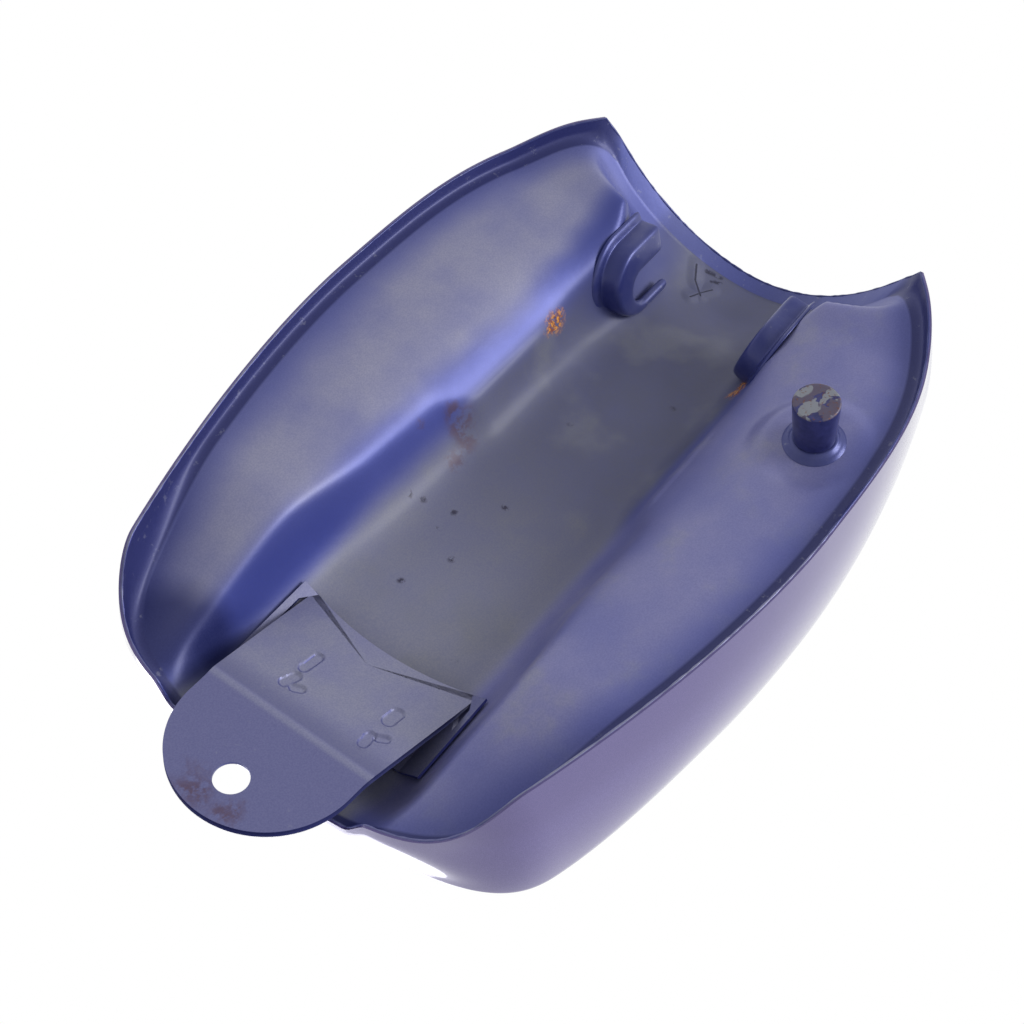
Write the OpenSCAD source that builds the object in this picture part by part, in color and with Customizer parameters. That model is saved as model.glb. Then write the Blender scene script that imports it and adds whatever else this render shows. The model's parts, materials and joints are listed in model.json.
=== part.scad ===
// Motorcycle fuel tank, shown upright the way it sits on the machine.
// Forward is +X, left is +Y, up is +Z. All lengths in millimetres.
// The origin is the middle of the bolt hole in the rear tongue.

/* [Tank body] */
// widest point of the bottom rim, from the middle line
rim_half = 165.7; // [140:0.1:190]
// rear end of the bottom rim
rim_back = -245; // [-280:1:-210]
// front station where the rim turns into the front arch
horn_x = 225; // [200:1:250]
// half width between the two front points
horn_half = 113; // [90:1:130]
// height of the front arch over the rim
arch_height = 90; // [60:1:110]
// how far the front arch leans forward at its top
arch_lean = 18; // [0:1:30]
// widest point of the outer shell, from the middle line
shell_half = 173; // [150:0.1:200]
// height of the widest point over the rim
belly_z = 54; // [30:1:70]
// height of the crown over the rim
crown_z = 168; // [140:1:210]
// station of the crown, which carries the filler
crown_x = 60; // [20:1:100]
// thickness of the pressed sheet
sheet = 1.2; // [0.8:0.1:2]

/* [Underside] */
// height of the vertical flange that joins the underside to the skirt
flange_h = 6; // [3:0.5:12]
// height of the tunnel roof over the rim at mid length
roof_z = 71; // [50:1:90]
// half width of the tunnel behind the waist
tunnel_half = 80; // [60:1:95]
// how much narrower the tunnel is ahead of the waist
waist_step = 9; // [0:1:20]
// rise of each lobe from its outer edge to its shoulder
lobe_rise = 25; // [5:1:40]

/* [Outlet] */
// station of the outlet
outlet_x = 88.5; // [60:0.5:110]
// distance of the outlet from the middle line
outlet_y = 122.5; // [90:0.5:140]
// height of the outlet's foot over the rim
outlet_z = 12; // [6:0.5:20]
// outlet cap radius
outlet_r = 13.3; // [10:0.1:18]
// outlet cap reach below the foot
outlet_reach = 35; // [20:1:50]
// lean of the outlet toward the middle line
outlet_in = 4.7; // [0:0.1:10]
// lean of the outlet toward the rear
outlet_back = 5.7; // [0:0.1:10]

/* [Rear tongue] */
// centre of the rounded end
tongue_x = -231; // [-250:1:-210]
// radius of the rounded end
tongue_r = 52; // [40:1:65]
// station of the crease
crease_x = -215; // [-225:1:-200]
// height of the crease over the rim
crease_z = 31.5; // [20:0.5:45]
// slope of the part ahead of the crease
slope_front = 19.5; // [10:0.5:30]
// slope of the rounded part
slope_back = 6.6; // [0:0.1:15]
// depth of the folded rim
tongue_rim = 4.5; // [3:0.5:10]
// bolt hole radius
hole_r = 9.3; // [6:0.1:12]
// bolt hole station
hole_x = -258.5; // [-270:0.5:-245]
// thickness of the tongue sheet
tongue_t = 1.6; // [1:0.1:3]

/* [Front cups] */
// station of the cup's centre
cup_x = 168; // [150:1:210]
// height of the cup's centre
cup_z = 53; // [30:1:75]
// inner radius of the cup
cup_r = 22; // [15:0.5:26]
// reach of the cup from the tunnel wall toward the middle
cup_reach = 14; // [8:0.5:26]
// radius of the opening in the cup's inner face
cup_hole = 12.5; // [8:0.5:18]

/* [Filler] */
// radius of the filler neck ring
neck_r = 40; // [36:0.5:44]
// radius of the filler opening
fill_r = 20.5; // [15:0.5:25]
// lid radius
lid_r = 30.2; // [25:0.1:34]
// how far the lid opens, in degrees
lid_swing = 95; // [60:1:110]

/* [Hidden] */
nc = 14;          // columns from the middle line to a side
ns = 32;          // stations along a side
kk = 2 * nc + ns; // boundary steps from rear middle to front middle
nr = 5;           // shell rings from the rim to the widest point
nt = 9;           // shell rings from the widest point to the crown
oc = [outlet_x, outlet_y, outlet_z];

function clamp01(v) = min(1, max(0, v));
function smooth(v) = let(c = clamp01(v)) c * c * (3 - 2 * c);
function mix(a, b, w) = a + (b - a) * w;
function unit(v) = v / max(norm(v), 1e-9);
function pw(v, e) = pow(max(v, 0), e);
function smax(a, b, k) = (a + b + sqrt((a - b) * (a - b) + k * k)) / 2;

// ---- plan outlines -------------------------------------------------------
// rim half width along the straight part of the side
function rim_y(x) = x < 25
    ? rim_half - 40 * pw((25 - x) / 221, 1.71)
    : horn_half + 1 + (rim_half - horn_half - 1) * (1 - pw((x - 25) / 200, 3.4));
function belly_y(x) = x < 18
    ? shell_half - 26 * pw((18 - x) / 198, 2.1)
    : shell_half - 24.3 * pw((x - 18) / 171, 1.95) - 9 * pw((x - 185) / 36, 2);
// height of the widest line, which climbs toward the tail
function belly_h(x) = belly_z + 16 * smooth((-70 - x) / 110);
// rim height along the side: drops at the front points, rises at the rear
function rim_z(x) = 24.5 * smooth((-190 - x) / 46) - 7 * smooth((x - 165) / 50);

function arch_y(j) = horn_half * (1 - pw(j / nc, 0.9));
function arch_z(y) = -4 + arch_height * (1 - pw(abs(y) / horn_half, 1.9));
function arch_x(z) = horn_x + 4 * clamp01((z + 4) / 8)
    + arch_lean * pw((z + 4) / arch_height, 1.7);

// boundary step k of 0..kk on the left side, rear middle to front middle
corner_x = -180;
function back_a(k) = 78 * pw(k / nc, 1.35);
function rim_pt(k) =
    k <= nc ? let(a = back_a(k), c = pw(cos(a), 0.588),
                  x = corner_x + (rim_back - corner_x) * c)
              [x, rim_y(x) * pw(sin(a), 0.588),
               rim_z(x) + 13 * smooth((70 - rim_y(x) * pw(sin(a), 0.588)) / 14)]
  : k <= nc + ns ? let(a = back_a(nc),
                  x0 = corner_x + (rim_back - corner_x) * pw(cos(a), 0.588),
                  u = (k - nc) / ns, x = mix(x0, horn_x - 0.01, u))
              [x, side_y(x), rim_z(x)]
  : let(y = arch_y(k - nc - ns), z = arch_z(y)) [arch_x(z), y, z];
// side half width, with the rounded rear corner carried in
function side_y(x) = x > corner_x ? rim_y(x)
    : rim_y(x) * pw(1 - pw((corner_x - x) / (corner_x - rim_back), 3.4), 0.294);
function belly_side(x) = x > corner_x ? belly_y(x)
    : belly_y(x) * pw(1 - pw((corner_x - x) / (corner_x - rim_back - 13), 3.2), 0.3125);

function belly_pt(k) =
    k <= nc ? let(a = back_a(k), c = pw(cos(a), 0.625),
                  x = corner_x + (rim_back + 13 - corner_x) * c)
              [x, belly_y(x) * pw(sin(a), 0.625), belly_h(x)]
  : k <= nc + ns ? let(a = back_a(nc),
                  x0 = corner_x + (rim_back + 13 - corner_x) * pw(cos(a), 0.625),
                  u = (k - nc) / ns, x = mix(x0, horn_x - 3, u))
              [x, belly_side(x), belly_h(x)]
  : let(p = rim_pt(k), h = clamp01((p[2] + 4) / arch_height))
              [p[0] - 3 + 8 * smooth(h * 2), p[1] * mix(1.142, 1.13, h),
               mix(belly_z, p[2] + 18, smooth(h * 1.3))];

// horizontal inward direction of the rim at step k
function rim_in(k) =
    k == 0 ? [1, 0, 0]
  : k == kk ? [0, 0, -1]
  : let(a = rim_pt(k - 1), b = rim_pt(k + 1), d = b - a)
    k <= nc + ns - 1 ? unit([d[1], -d[0], 0] * (1)) * 1
  : k == nc + ns ? unit([-0.25, -1, -0.1])
  : unit([0, d[2], -d[1]] * -1) * 1;
// direction in which the flange stands at step k
function stand(k) = let(w = smooth((k - nc - ns + 2) / 5)) unit([-w, 0, 1 - w]);

function inward(k) = let(n = rim_in(k))
    k > nc + ns ? (n[1] > 0 ? -n : n) : (n[1] > 0.001 ? -n : n);

// ---- underside height ----------------------------------------------------
function tunnel_w(x) = tunnel_half - waist_step * smooth((x + 8) / 34)
    - 5 * smooth((x - 110) / 50) + 3 * smooth((-60 - x) / 60);
function roof(x) = roof_z - 5 * smooth((-20 - x) / 110) + 8 * smooth((x - 40) / 160)
    - 21 * smooth((-200 - x) / 40);
function lobe(x, y) = let(ye = (x > corner_x ? rim_y(x) : rim_y(corner_x)) - 9,
                          u = max(0, ye - abs(y)), q = smooth((-150 - x) / 80))
    9.5 + min(rim_z(x), 0) + 25 * smooth((-115 - x) / 118) + lobe_rise * (1 - 0.8 * q) * pw(min(u, 92) / 84, 2.6)
    * (1 - 0.35 * smooth((x - 90) / 110));
function tunnel(x, y) = let(t = roof(x) * (1 - pw(abs(y) / tunnel_w(x), 6 + smooth((-60 - x) / 60))),
                            f = arch_z(y) + 2, b = smooth((x - 160) / 52))
    mix(max(t, -60), max(f, -60), b);
// flat seat for the outlet, square to the outlet's axis
function seat_z(x, y) = outlet_z - tan(outlet_back) * (x - outlet_x) - tan(outlet_in) * (y - outlet_y);
function under(x, y) = let(b = smax(lobe(x, y), tunnel(x, y), 9),
                           w = smooth((38 - norm([x - outlet_x, y - outlet_y])) / 13))
    mix(b, seat_z(x, y), w);

function fold(p, s) = [p[0], s * p[1], p[2]];
gap = 0.15;
// rings that make the flange: 0 foot, 1 top, 2 and 3 the fillet
function ring(k, r) = let(p = rim_pt(k), n = inward(k), g = stand(k),
                          d = sheet + gap + [0.8, 1.1, 3.4, 9][r],
                          h = [0.6, flange_h, flange_h + 2.6, flange_h + 4][r],
                          q = p + n * d + g * h)
    r < 3 ? q : [q[0], q[1], under(q[0], q[1])];
// boundary step with its side: m runs 0..2*kk-1 around the whole rim
function loop_k(m) = m <= kk ? m : 2 * kk - m;
function loop_s(m) = m <= kk ? 1 : -1;
nl = 2 * kk;

// patch inside ring 3: row i of 0..ns, column j of -nc..nc
function side_ring(i) = ring(nc + i, 3);
function col(j) = let(a = abs(j) / nc) (j < 0 ? -1 : 1) *
    (a < 0.36 ? a / 0.36 * 0.34 : a < 0.72 ? mix(0.34, 0.56, (a - 0.36) / 0.36)
     : mix(0.56, 1, (a - 0.72) / 0.28));
function edge_back(j) = let(k = abs(j)) ring(k, 3);
function edge_front(j) = let(k = kk - abs(j)) ring(k, 3);
function patch(i, j) =
    abs(j) == nc ? fold(side_ring(i), sign(j))
  : i == 0 ? fold(edge_back(j), j < 0 ? -1 : 1)
  : i == ns ? fold(edge_front(j), j < 0 ? -1 : 1)
  : let(u = i / ns, s = side_ring(i), b = edge_back(j), f = edge_front(j),
        b1 = side_ring(0), f1 = side_ring(ns), v = abs(col(j)),
        x = s[0] + (1 - u) * (b[0] - b1[0]) + u * (f[0] - f1[0]),
        wb = b[1] / b1[1], wf = f[1] / f1[1],
        cb = pw(1 - u, 4), cf = pw(u, 4),
        v2 = v + cb * (wb - v) + cf * (wf - v),
        y = s[1] * v2)
    [x, (j < 0 ? -1 : 1) * y, under(x, y)];

np = (ns + 1) * (2 * nc + 1);
function pid(i, j) = i * (2 * nc + 1) + j + nc;
function loop_id(m) = let(k = loop_k(m), s = loop_s(m))
    k <= nc ? pid(0, s * k) : k <= nc + ns ? pid(k - nc, s * nc) : pid(ns, s * (kk - k));

function quad(a, b, c, d) = [[a, b, c], [a, c, d]];
function flip(f) = [for (t = f) [t[2], t[1], t[0]]];
function join(l) = [for (a = l) for (b = a) b];

module sheet_body(low, up, faces, rim_loop) {
    n = len(low);
    m = len(rim_loop);
    walls = join([for (i = [0:m - 1]) let(a = rim_loop[i], b = rim_loop[(i + 1) % m])
                  quad(a, b, b + n, a + n)]);
    polyhedron(points = concat(low, up),
               faces = concat(faces, [for (t = flip(faces)) t + [n, n, n]], flip(walls)));
}

module pan_raw() {
    low = concat([for (i = [0:ns]) for (j = [-nc:nc]) patch(i, j)],
                 join([for (r = [2, 1, 0]) [for (m = [0:nl - 1]) fold(ring(loop_k(m), r), loop_s(m))]]));
    // normals of the patch from its neighbours
    function at(i, j) = low[pid(min(ns, max(0, i)), min(nc, max(-nc, j)))];
    function nrm(i, j) = unit(cross(at(i + 1, j) - at(i - 1, j), at(i, j + 1) - at(i, j - 1)));
    up = concat([for (i = [0:ns]) for (j = [-nc:nc])
                   let(p = low[pid(i, j)], edge = i == 0 || i == ns || abs(j) == nc,
                       q = nrm(i, j))
                   p + (q[2] < 0 ? -q : q) * sheet],
                join([for (r = [2, 1, 0]) [for (m = [0:nl - 1])
                   let(k = loop_k(m), s = loop_s(m), g = stand(k), n = inward(k))
                   fold(ring(k, r) - (r == 2 ? unit(n - g) * sheet * 0.5 : n * 0.8)
                        + (r == 2 ? g * 0.4 : [0, 0, 0]), s)]]));
    base = np;
    function rid(r, m) = r == 3 ? loop_id(m % nl) : base + (2 - r) * nl + m % nl;
    faces = concat(join([for (i = [0:ns - 1]) for (j = [-nc:nc - 1])
                         quad(pid(i, j), pid(i + 1, j), pid(i + 1, j + 1), pid(i, j + 1))]),
                   join([for (r = [0:2]) for (m = [0:nl - 1])
                         quad(rid(r + 1, m), rid(r + 1, m + 1), rid(r, m + 1), rid(r, m))]));
    sheet_body(low, up, faces, [for (m = [nl - 1:-1:0]) rid(0, m)]);
}

// ---- outer shell ---------------------------------------------------------
function spine_x(x) = 26 + 0.62 * x;
function crown(x) = crown_z - 0.0011 * (x - crown_x) * (x - crown_x);
// share of the way from the rim to the widest line: upright at first along the rear
function flare(k, u) = mix(sin(90 * u), smooth((u - 0.15) / 0.85), smooth((nc + 1 - k) / 5));
// t inward offset of the sheet
function shell_pt(k, r, t) =
    let(p = rim_pt(k) + inward(k) * t, w0 = belly_pt(k), n0 = inward(k),
        n = k > nc + ns ? mix(n0, unit([-1, -0.2, 0]), 0.75) : n0,
        w = w0 + n * t)
    r <= nr ? let(u = r / nr, e = flare(k, u))
        [mix(p[0], w[0], e), mix(p[1], w[1], e), mix(p[2], w[2], u)]
  : let(a = 90 * (r - nr) / nt, sx = spine_x(w0[0]), c = pw(cos(a), 0.84),
        x = sx + (w[0] - sx) * c, y = w[1] * c)
        [x, y, w[2] + (crown(x) - t - w[2]) * pw(sin(a), 0.84)];
ms = nr + nt;
function ring_id(r, m) = let(q = m % nl)
    r < ms ? r * nl + q : ms * nl + loop_k(q);
function shell_points(t) = concat(
    join([for (r = [0:ms - 1]) [for (m = [0:nl - 1]) fold(shell_pt(loop_k(m), r, t), loop_s(m))]]),
    [for (k = [0:kk]) let(p = shell_pt(k, ms, t)) [p[0], 0, p[2]]]);
module shell_raw() {
    faces = [for (f = join([for (r = [0:ms - 1]) for (m = [0:nl - 1])
                 quad(ring_id(r, m), ring_id(r + 1, m), ring_id(r + 1, m + 1), ring_id(r, m + 1))]))
             if (f[0] != f[1] && f[1] != f[2] && f[0] != f[2]) f];
    sheet_body(shell_points(0), shell_points(sheet), flip(faces), [for (m = [0:nl - 1]) ring_id(0, m)]);
}
module outer_shell() color("#40419a") placed() difference() {
    shell_raw();
    translate([crown_x, 0, crown_z - 20]) cylinder(r = neck_r + 0.15, h = 40, $fn = 96);
}
module underside_pan() color("#53549c") placed() difference() {
    pan_raw();
    at_outlet() cylinder(r = 10.2, h = 40, center = true, $fn = 64);
}
module at_outlet() translate(oc) rotate([-outlet_in, outlet_back, 0]) children();

module front_cup_left() color("#4a4ba0") placed() cup(1);
module front_cup_right() color("#4a4ba0") placed() cup(-1);
// pressed horseshoe cup, open to the front, standing off the tunnel wall
module cup(s) difference() {
    translate([cup_x, s * 57, cup_z]) rotate([s * 14, 0, 0]) mirror([0, s < 0 ? 1 : 0, 0])
        rotate([90, 0, 0]) {
            u_wall(cup_r + 2, cup_r, cup_reach);
            translate([0, 0, -2]) difference() {
                u_plate(cup_r + 7, 3.6);
                translate([0, 0, -1]) u_plate(cup_r, 6);
            }
            translate([0, 0, cup_reach - 1.6]) difference() {
                u_plate(cup_r + 2, 1.6);
                translate([3, 6, -1]) u_plate(cup_hole, 4);
            }
        }
    over_pan(s);
}
module u_plate(r, h) linear_extrude(h) union() {
    intersection() {
        circle(r = r, $fn = 72);
        translate([-r, -r]) square([r + 26, 2 * r]);
    }
    translate([0, -r]) square([26, 2 * r]);
}
module u_wall(ro, ri, h) difference() {
    u_plate(ro, h);
    translate([0, 0, -1]) linear_extrude(h + 2) union() {
        circle(r = ri, $fn = 72);
        translate([0, -ri]) square([40, 2 * ri]);
    }
}
// everything that lies over the underside near a cup, with a weld's gap
module over_pan(s) {
    i0 = ns - 8;
    w = nc - 2;
    low = [for (i = [i0:ns]) for (j = [1:w + 1]) patch(i, s * j) - [0, 0, 0.5]];
    up = [for (p = low) [p[0], p[1], 130]];
    function id(i, j) = i * (w + 1) + j;
    faces = join([for (i = [0:7]) for (j = [0:w - 1])
                  s > 0 ? quad(id(i, j), id(i + 1, j), id(i + 1, j + 1), id(i, j + 1))
                        : quad(id(i, j + 1), id(i, j), id(i + 1, j), id(i + 1, j + 1))]);
    edge = concat([for (j = [0:w - 1]) id(0, j)], [for (i = [0:7]) id(i, w)],
                  [for (j = [w:-1:1]) id(8, j)], [for (i = [8:-1:1]) id(i, 0)]);
    sheet_body(low, up, s > 0 ? faces : flip(faces),
               s > 0 ? edge : [for (i = [len(edge) - 1:-1:0]) edge[i]]);
}

// ---- rear tongue ---------------------------------------------------------
doubler_z = roof_z - 8.4;      // underside of the plate that backs the tunnel roof
lf = 88;                       // length of the part ahead of the crease
fw = 54;                       // half width of that part
bx = (tongue_x - crease_x) / cos(slope_back);
hx = (hole_x - crease_x) / cos(slope_back);
// middle of the bolt hole, which becomes the origin
home = [crease_x + hx * cos(slope_back) - tongue_t / 2 * sin(slope_back), 0,
        crease_z + hx * sin(slope_back) + tongue_t / 2 * cos(slope_back)];
module placed() translate(-home) children();
module front_frame() translate([crease_x, 0, crease_z]) rotate([0, -slope_front, 0]) children();
module back_frame() translate([crease_x, 0, crease_z]) rotate([0, -slope_back, 0]) children();
module front_shape(w) difference() {
    polygon([[0, -w + 1], [0, w - 1], [lf, w + 2], [lf, -w - 2]]);
    translate([lf + 146, 0]) circle(r = 157, $fn = 180);
}
module back_shape(r) union() {
    translate([bx, 0]) circle(r = r, $fn = 120);
    translate([bx, -r]) square([-bx, 2 * r]);
}
module rear_tongue() color("#4d4ea4") placed() {
    back_frame() difference() {
        union() {
            linear_extrude(tongue_t) back_shape(tongue_r);
            difference() {
                linear_extrude(tongue_rim) back_shape(tongue_r);
                translate([0, 0, -1]) linear_extrude(tongue_rim + 2) back_shape(tongue_r - tongue_t);
            }
        }
        translate([hx, 0, -1]) cylinder(r = hole_r, h = 4, $fn = 96);
        translate([0, -70, -2]) cube([50, 140, 12]);
    }
    front_frame() difference() {
        linear_extrude(tongue_rim) front_shape(fw);
        translate([-1, 0, tongue_t]) linear_extrude(tongue_rim) polygon([[0, -fw + 1 + tongue_t],
            [0, fw - 1 - tongue_t], [lf + 4, fw + 2 - tongue_t], [lf + 4, -fw - 2 + tongue_t]]);
        translate([lf - 22, -70, tongue_t]) cube([40, 140, 10]);
    }
}
module roof_doubler() color("#3c3d86") placed() difference() {
    translate([-192, 0, 0]) rotate([90, 0, 90]) linear_extrude(58)
        polygon([[-49, doubler_z], [49, doubler_z], [62, doubler_z - 8.4], [62.9, doubler_z - 7.3],
                 [49.5, doubler_z + 1.3], [-49.5, doubler_z + 1.3], [-62.9, doubler_z - 7.3],
                 [-62, doubler_z - 8.4]]);
    translate([5.6, 0, 0]) cylinder(r = 149.6, h = 90, $fn = 180);
    // room for the tongue's front corners
    for (s = [-1, 1]) front_frame() translate([lf - 34, s * 54.5 - 4, -0.2]) cube([44, 8, tongue_rim + 0.6]);
}

// ---- outlet --------------------------------------------------------------
module tube(ro, ri, z0, z1) translate([0, 0, z0]) difference() {
    cylinder(r = ro, h = z1 - z0, $fn = 96);
    translate([0, 0, -1]) cylinder(r = ri, h = z1 - z0 + 2, $fn = 96);
}
module outlet_collar() color("#4a4ba0") placed() at_outlet() translate([0, 0, -4]) difference() {
    union() {
        translate([0, 0, 2.4]) cylinder(r = outlet_r + 3.3, h = 1.4, $fn = 96);
        cylinder(r1 = outlet_r - 1.4, r2 = outlet_r + 1.6, h = 2.4, $fn = 96);
    }
    translate([0, 0, -1]) cylinder(r = 10.05, h = 8, $fn = 96);
}
module outlet_tube() color("#8d8f96") placed() at_outlet() tube(10, 7.6, -outlet_reach + 6, 8);
module outlet_seal() color("#1c1c1e") placed() at_outlet() tube(10, 5, -outlet_reach + 3.7, -outlet_reach + 5.9);
module outlet_cap() color("#4d4ea4") placed() at_outlet() translate([0, 0, -outlet_reach]) difference() {
    cylinder(r1 = outlet_r, r2 = outlet_r - 1.5, h = outlet_reach - 4.5, $fn = 96);
    translate([0, 0, 3.5]) cylinder(r = 10.3, h = outlet_reach, $fn = 96);
}

// ---- filler --------------------------------------------------------------
top_z = crown_z + 3;            // face of the neck ring
gz = top_z + 1.2;               // underside of the cap base
bz = gz + 8;                    // top of the cap base
floor_z = gz + 2.2;             // sealing face inside the cap base
lid_z = gz + 4.2;               // underside of the lid
base_r = neck_r + 4;
screw_r = lid_r + 6;            // pitch radius of the cap screws
hinge = [lid_r + 6.3, bz + 3.2];
lock_x = -15;
throw = 3;                      // offset of the lock's drive pin
cover_x = -2;
module at_neck() translate([crown_x, 0, 0]) children();
module around(n, r, a0 = 0) for (i = [0:n - 1]) rotate(a0 + i * 360 / n) translate([r, 0, 0]) children();
module rod(r, z0, z1, n = 48) translate([0, 0, z0]) cylinder(r = r, h = z1 - z0, $fn = n);
module hinge_rod(r, w, n = 48) translate([hinge[0], 0, hinge[1]]) rotate([90, 0, 0])
    cylinder(r = r, h = w, center = true, $fn = n);
module filler_neck() color("#8d8f96") placed() at_neck() difference() {
    union() {
        rod(neck_r, top_z - 10, top_z, 120);
        rod(fill_r + 1.6, top_z - 34, top_z - 9, 96);
    }
    rod(fill_r, top_z - 40, top_z + 5, 96);
    around(4, screw_r, 45) rod(2, top_z - 8, top_z + 5, 32);
}
module cap_gasket() color("#1c1c1e") placed() at_neck() difference() {
    tube(neck_r, fill_r, top_z, gz);
    around(4, screw_r, 45) rod(2.3, top_z - 1, gz + 1, 32);
}
module cap_base() color("#b9bbc0") placed() at_neck() difference() {
    union() {
        rod(base_r, gz, bz - 1.5, 120);
        translate([0, 0, bz - 1.5]) cylinder(r1 = base_r, r2 = base_r - 1.5, h = 1.5, $fn = 120);
        for (s = [-1, 1]) translate([hinge[0], s * 9 + 2, 0]) {
            translate([0, 0, hinge[1]]) rotate([90, 0, 0]) cylinder(r = 2.8, h = 4, $fn = 48);
            translate([-2.8, -4, bz - 2]) cube([5.6, 4, hinge[1] - bz + 2]);
        }
    }
    rod(fill_r, gz - 1, bz + 9, 96);
    rod(lid_r + 0.6, floor_z, bz + 9, 120);
    around(4, screw_r, 45) { rod(2.2, gz - 1, bz + 3, 32); rod(3.9, bz - 3, bz + 3, 48); }
    hinge_rod(1.55, 40, 32);
    // room for the lid's knuckle and, opposite, the pocket the latch enters
    translate([lid_r - 2, -6.3, bz - 3]) cube([14, 12.6, 20]);
    translate([-lid_r - 5.5, -5.4, lid_z - 0.2]) cube([8, 10.8, 2.5]);
}
module cap_screws() color("#9a9ca2") placed() at_neck() around(4, screw_r, 45) difference() {
    union() { rod(3.5, bz - 3, bz - 0.6); rod(1.95, top_z - 7.5, bz - 2.9, 32); }
    rod(1.7, bz - 2, bz + 1, 6);
}
module hinge_pin() color("#9a9ca2") placed() at_neck() hinge_rod(1.5, 23, 32);
module cap_lid() color("#c3c5ca") placed() at_neck() difference() {
    union() {
        rod(lid_r, lid_z, bz - 0.4, 120);
        translate([0, 0, bz - 0.4]) cylinder(r1 = lid_r, r2 = lid_r - 0.8, h = 0.8, $fn = 120);
        translate([lid_r - 4, -5.8, bz - 2]) cube([10.3, 11.6, 3.6]);
        hinge_rod(2.7, 11.6);
    }
    hinge_rod(1.55, 40, 32);
    translate([lock_x, 0, 0]) rod(6.1, lid_z + 1, bz + 9, 64);
    translate([-lid_r - 1, -4.2, lid_z - 1]) cube([23.4, 8.4, 3]);
    translate([cover_x, 0, 0]) rod(1.05, lid_z + 1, bz + 9, 24);
    for (s = [-1, 1]) translate([8, s * 9, 0]) rod(1.55, lid_z - 1, lid_z + 3, 32);
}
module lid_seal() color("#1c1c1e") placed() at_neck() difference() {
    rod(26, floor_z + 0.05, lid_z - 0.05, 120);
    for (s = [-1, 1]) translate([8, s * 9, 0]) rod(1.8, floor_z - 1, lid_z + 1, 32);
}
module seal_plate() color("#a7a9ae") placed() at_neck() difference() {
    rod(19, floor_z - 1.5, floor_z, 96);
    for (s = [-1, 1]) translate([8, s * 9, 0]) rod(1.8, floor_z - 3, lid_z + 1, 32);
}
module seal_plate_screws() color("#9a9ca2") placed() at_neck() for (s = [-1, 1]) translate([8, s * 9, 0]) difference() {
    union() { rod(3, floor_z - 3.4, floor_z - 1.55); rod(1.5, floor_z - 2, lid_z + 2.6, 32); }
    translate([-4, -0.45, floor_z - 4]) cube([8, 0.9, 1.4]);
}
module lock_barrel() color("#8f9197") placed() at_neck() translate([lock_x, 0, 0]) difference() {
    union() {
        rod(6, lid_z + 2.1, bz + 0.9, 64);
        rotate(45) translate([throw, 0, 0]) rod(1, lid_z + 0.3, lid_z + 2.2, 32);
    }
    translate([-3.4, -0.6, bz - 0.9]) cube([6.8, 1.2, 4]);
}
module latch_tongue() color("#a7a9ae") placed() at_neck() difference() {
    translate([-lid_r + 0.6, -4, lid_z + 0.1]) cube([19.6, 8, 1.8]);
    translate([lock_x + throw * cos(45) - 1.3, 0.5, lid_z - 1]) cube([2.6, 4.1, 4]);
}
module keyhole_cover() color("#c3c5ca") placed() at_neck() translate([0, 0, bz + 1.1]) difference() {
    union() {
        translate([lock_x, 0, 0]) cylinder(r = 8, h = 1.2, $fn = 96);
        translate([cover_x, 0, 0]) cylinder(r = 4, h = 1.2, $fn = 64);
        translate([lock_x, -3.9, 0]) cube([cover_x - lock_x, 7.8, 1.2]);
    }
    translate([cover_x, 0, -1]) cylinder(r = 1.1, h = 4, $fn = 32);
}
module cover_rivet() color("#9a9ca2") placed() at_neck() translate([cover_x, 0, 0]) {
    rod(1.02, lid_z + 1.5, bz + 2.6, 32);
    rod(2, bz + 2.4, bz + 3, 48);
    rod(1.9, bz + 0.45, bz + 1, 48);
}

outer_shell();
underside_pan();
front_cup_left();
front_cup_right();
rear_tongue();
roof_doubler();
outlet_collar();
outlet_tube();
outlet_seal();
outlet_cap();
filler_neck();
cap_gasket();
cap_base();
cap_screws();
hinge_pin();
cap_lid();
lid_seal();
seal_plate();
seal_plate_screws();
lock_barrel();
latch_tongue();
keyhole_cover();
cover_rivet();
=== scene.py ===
"""Motorcycle fuel tank, the right way up, seen from below in a white studio."""
import json
import math
import random

import bmesh
import bpy
import numpy as np
from mathutils import Matrix, Vector

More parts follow.
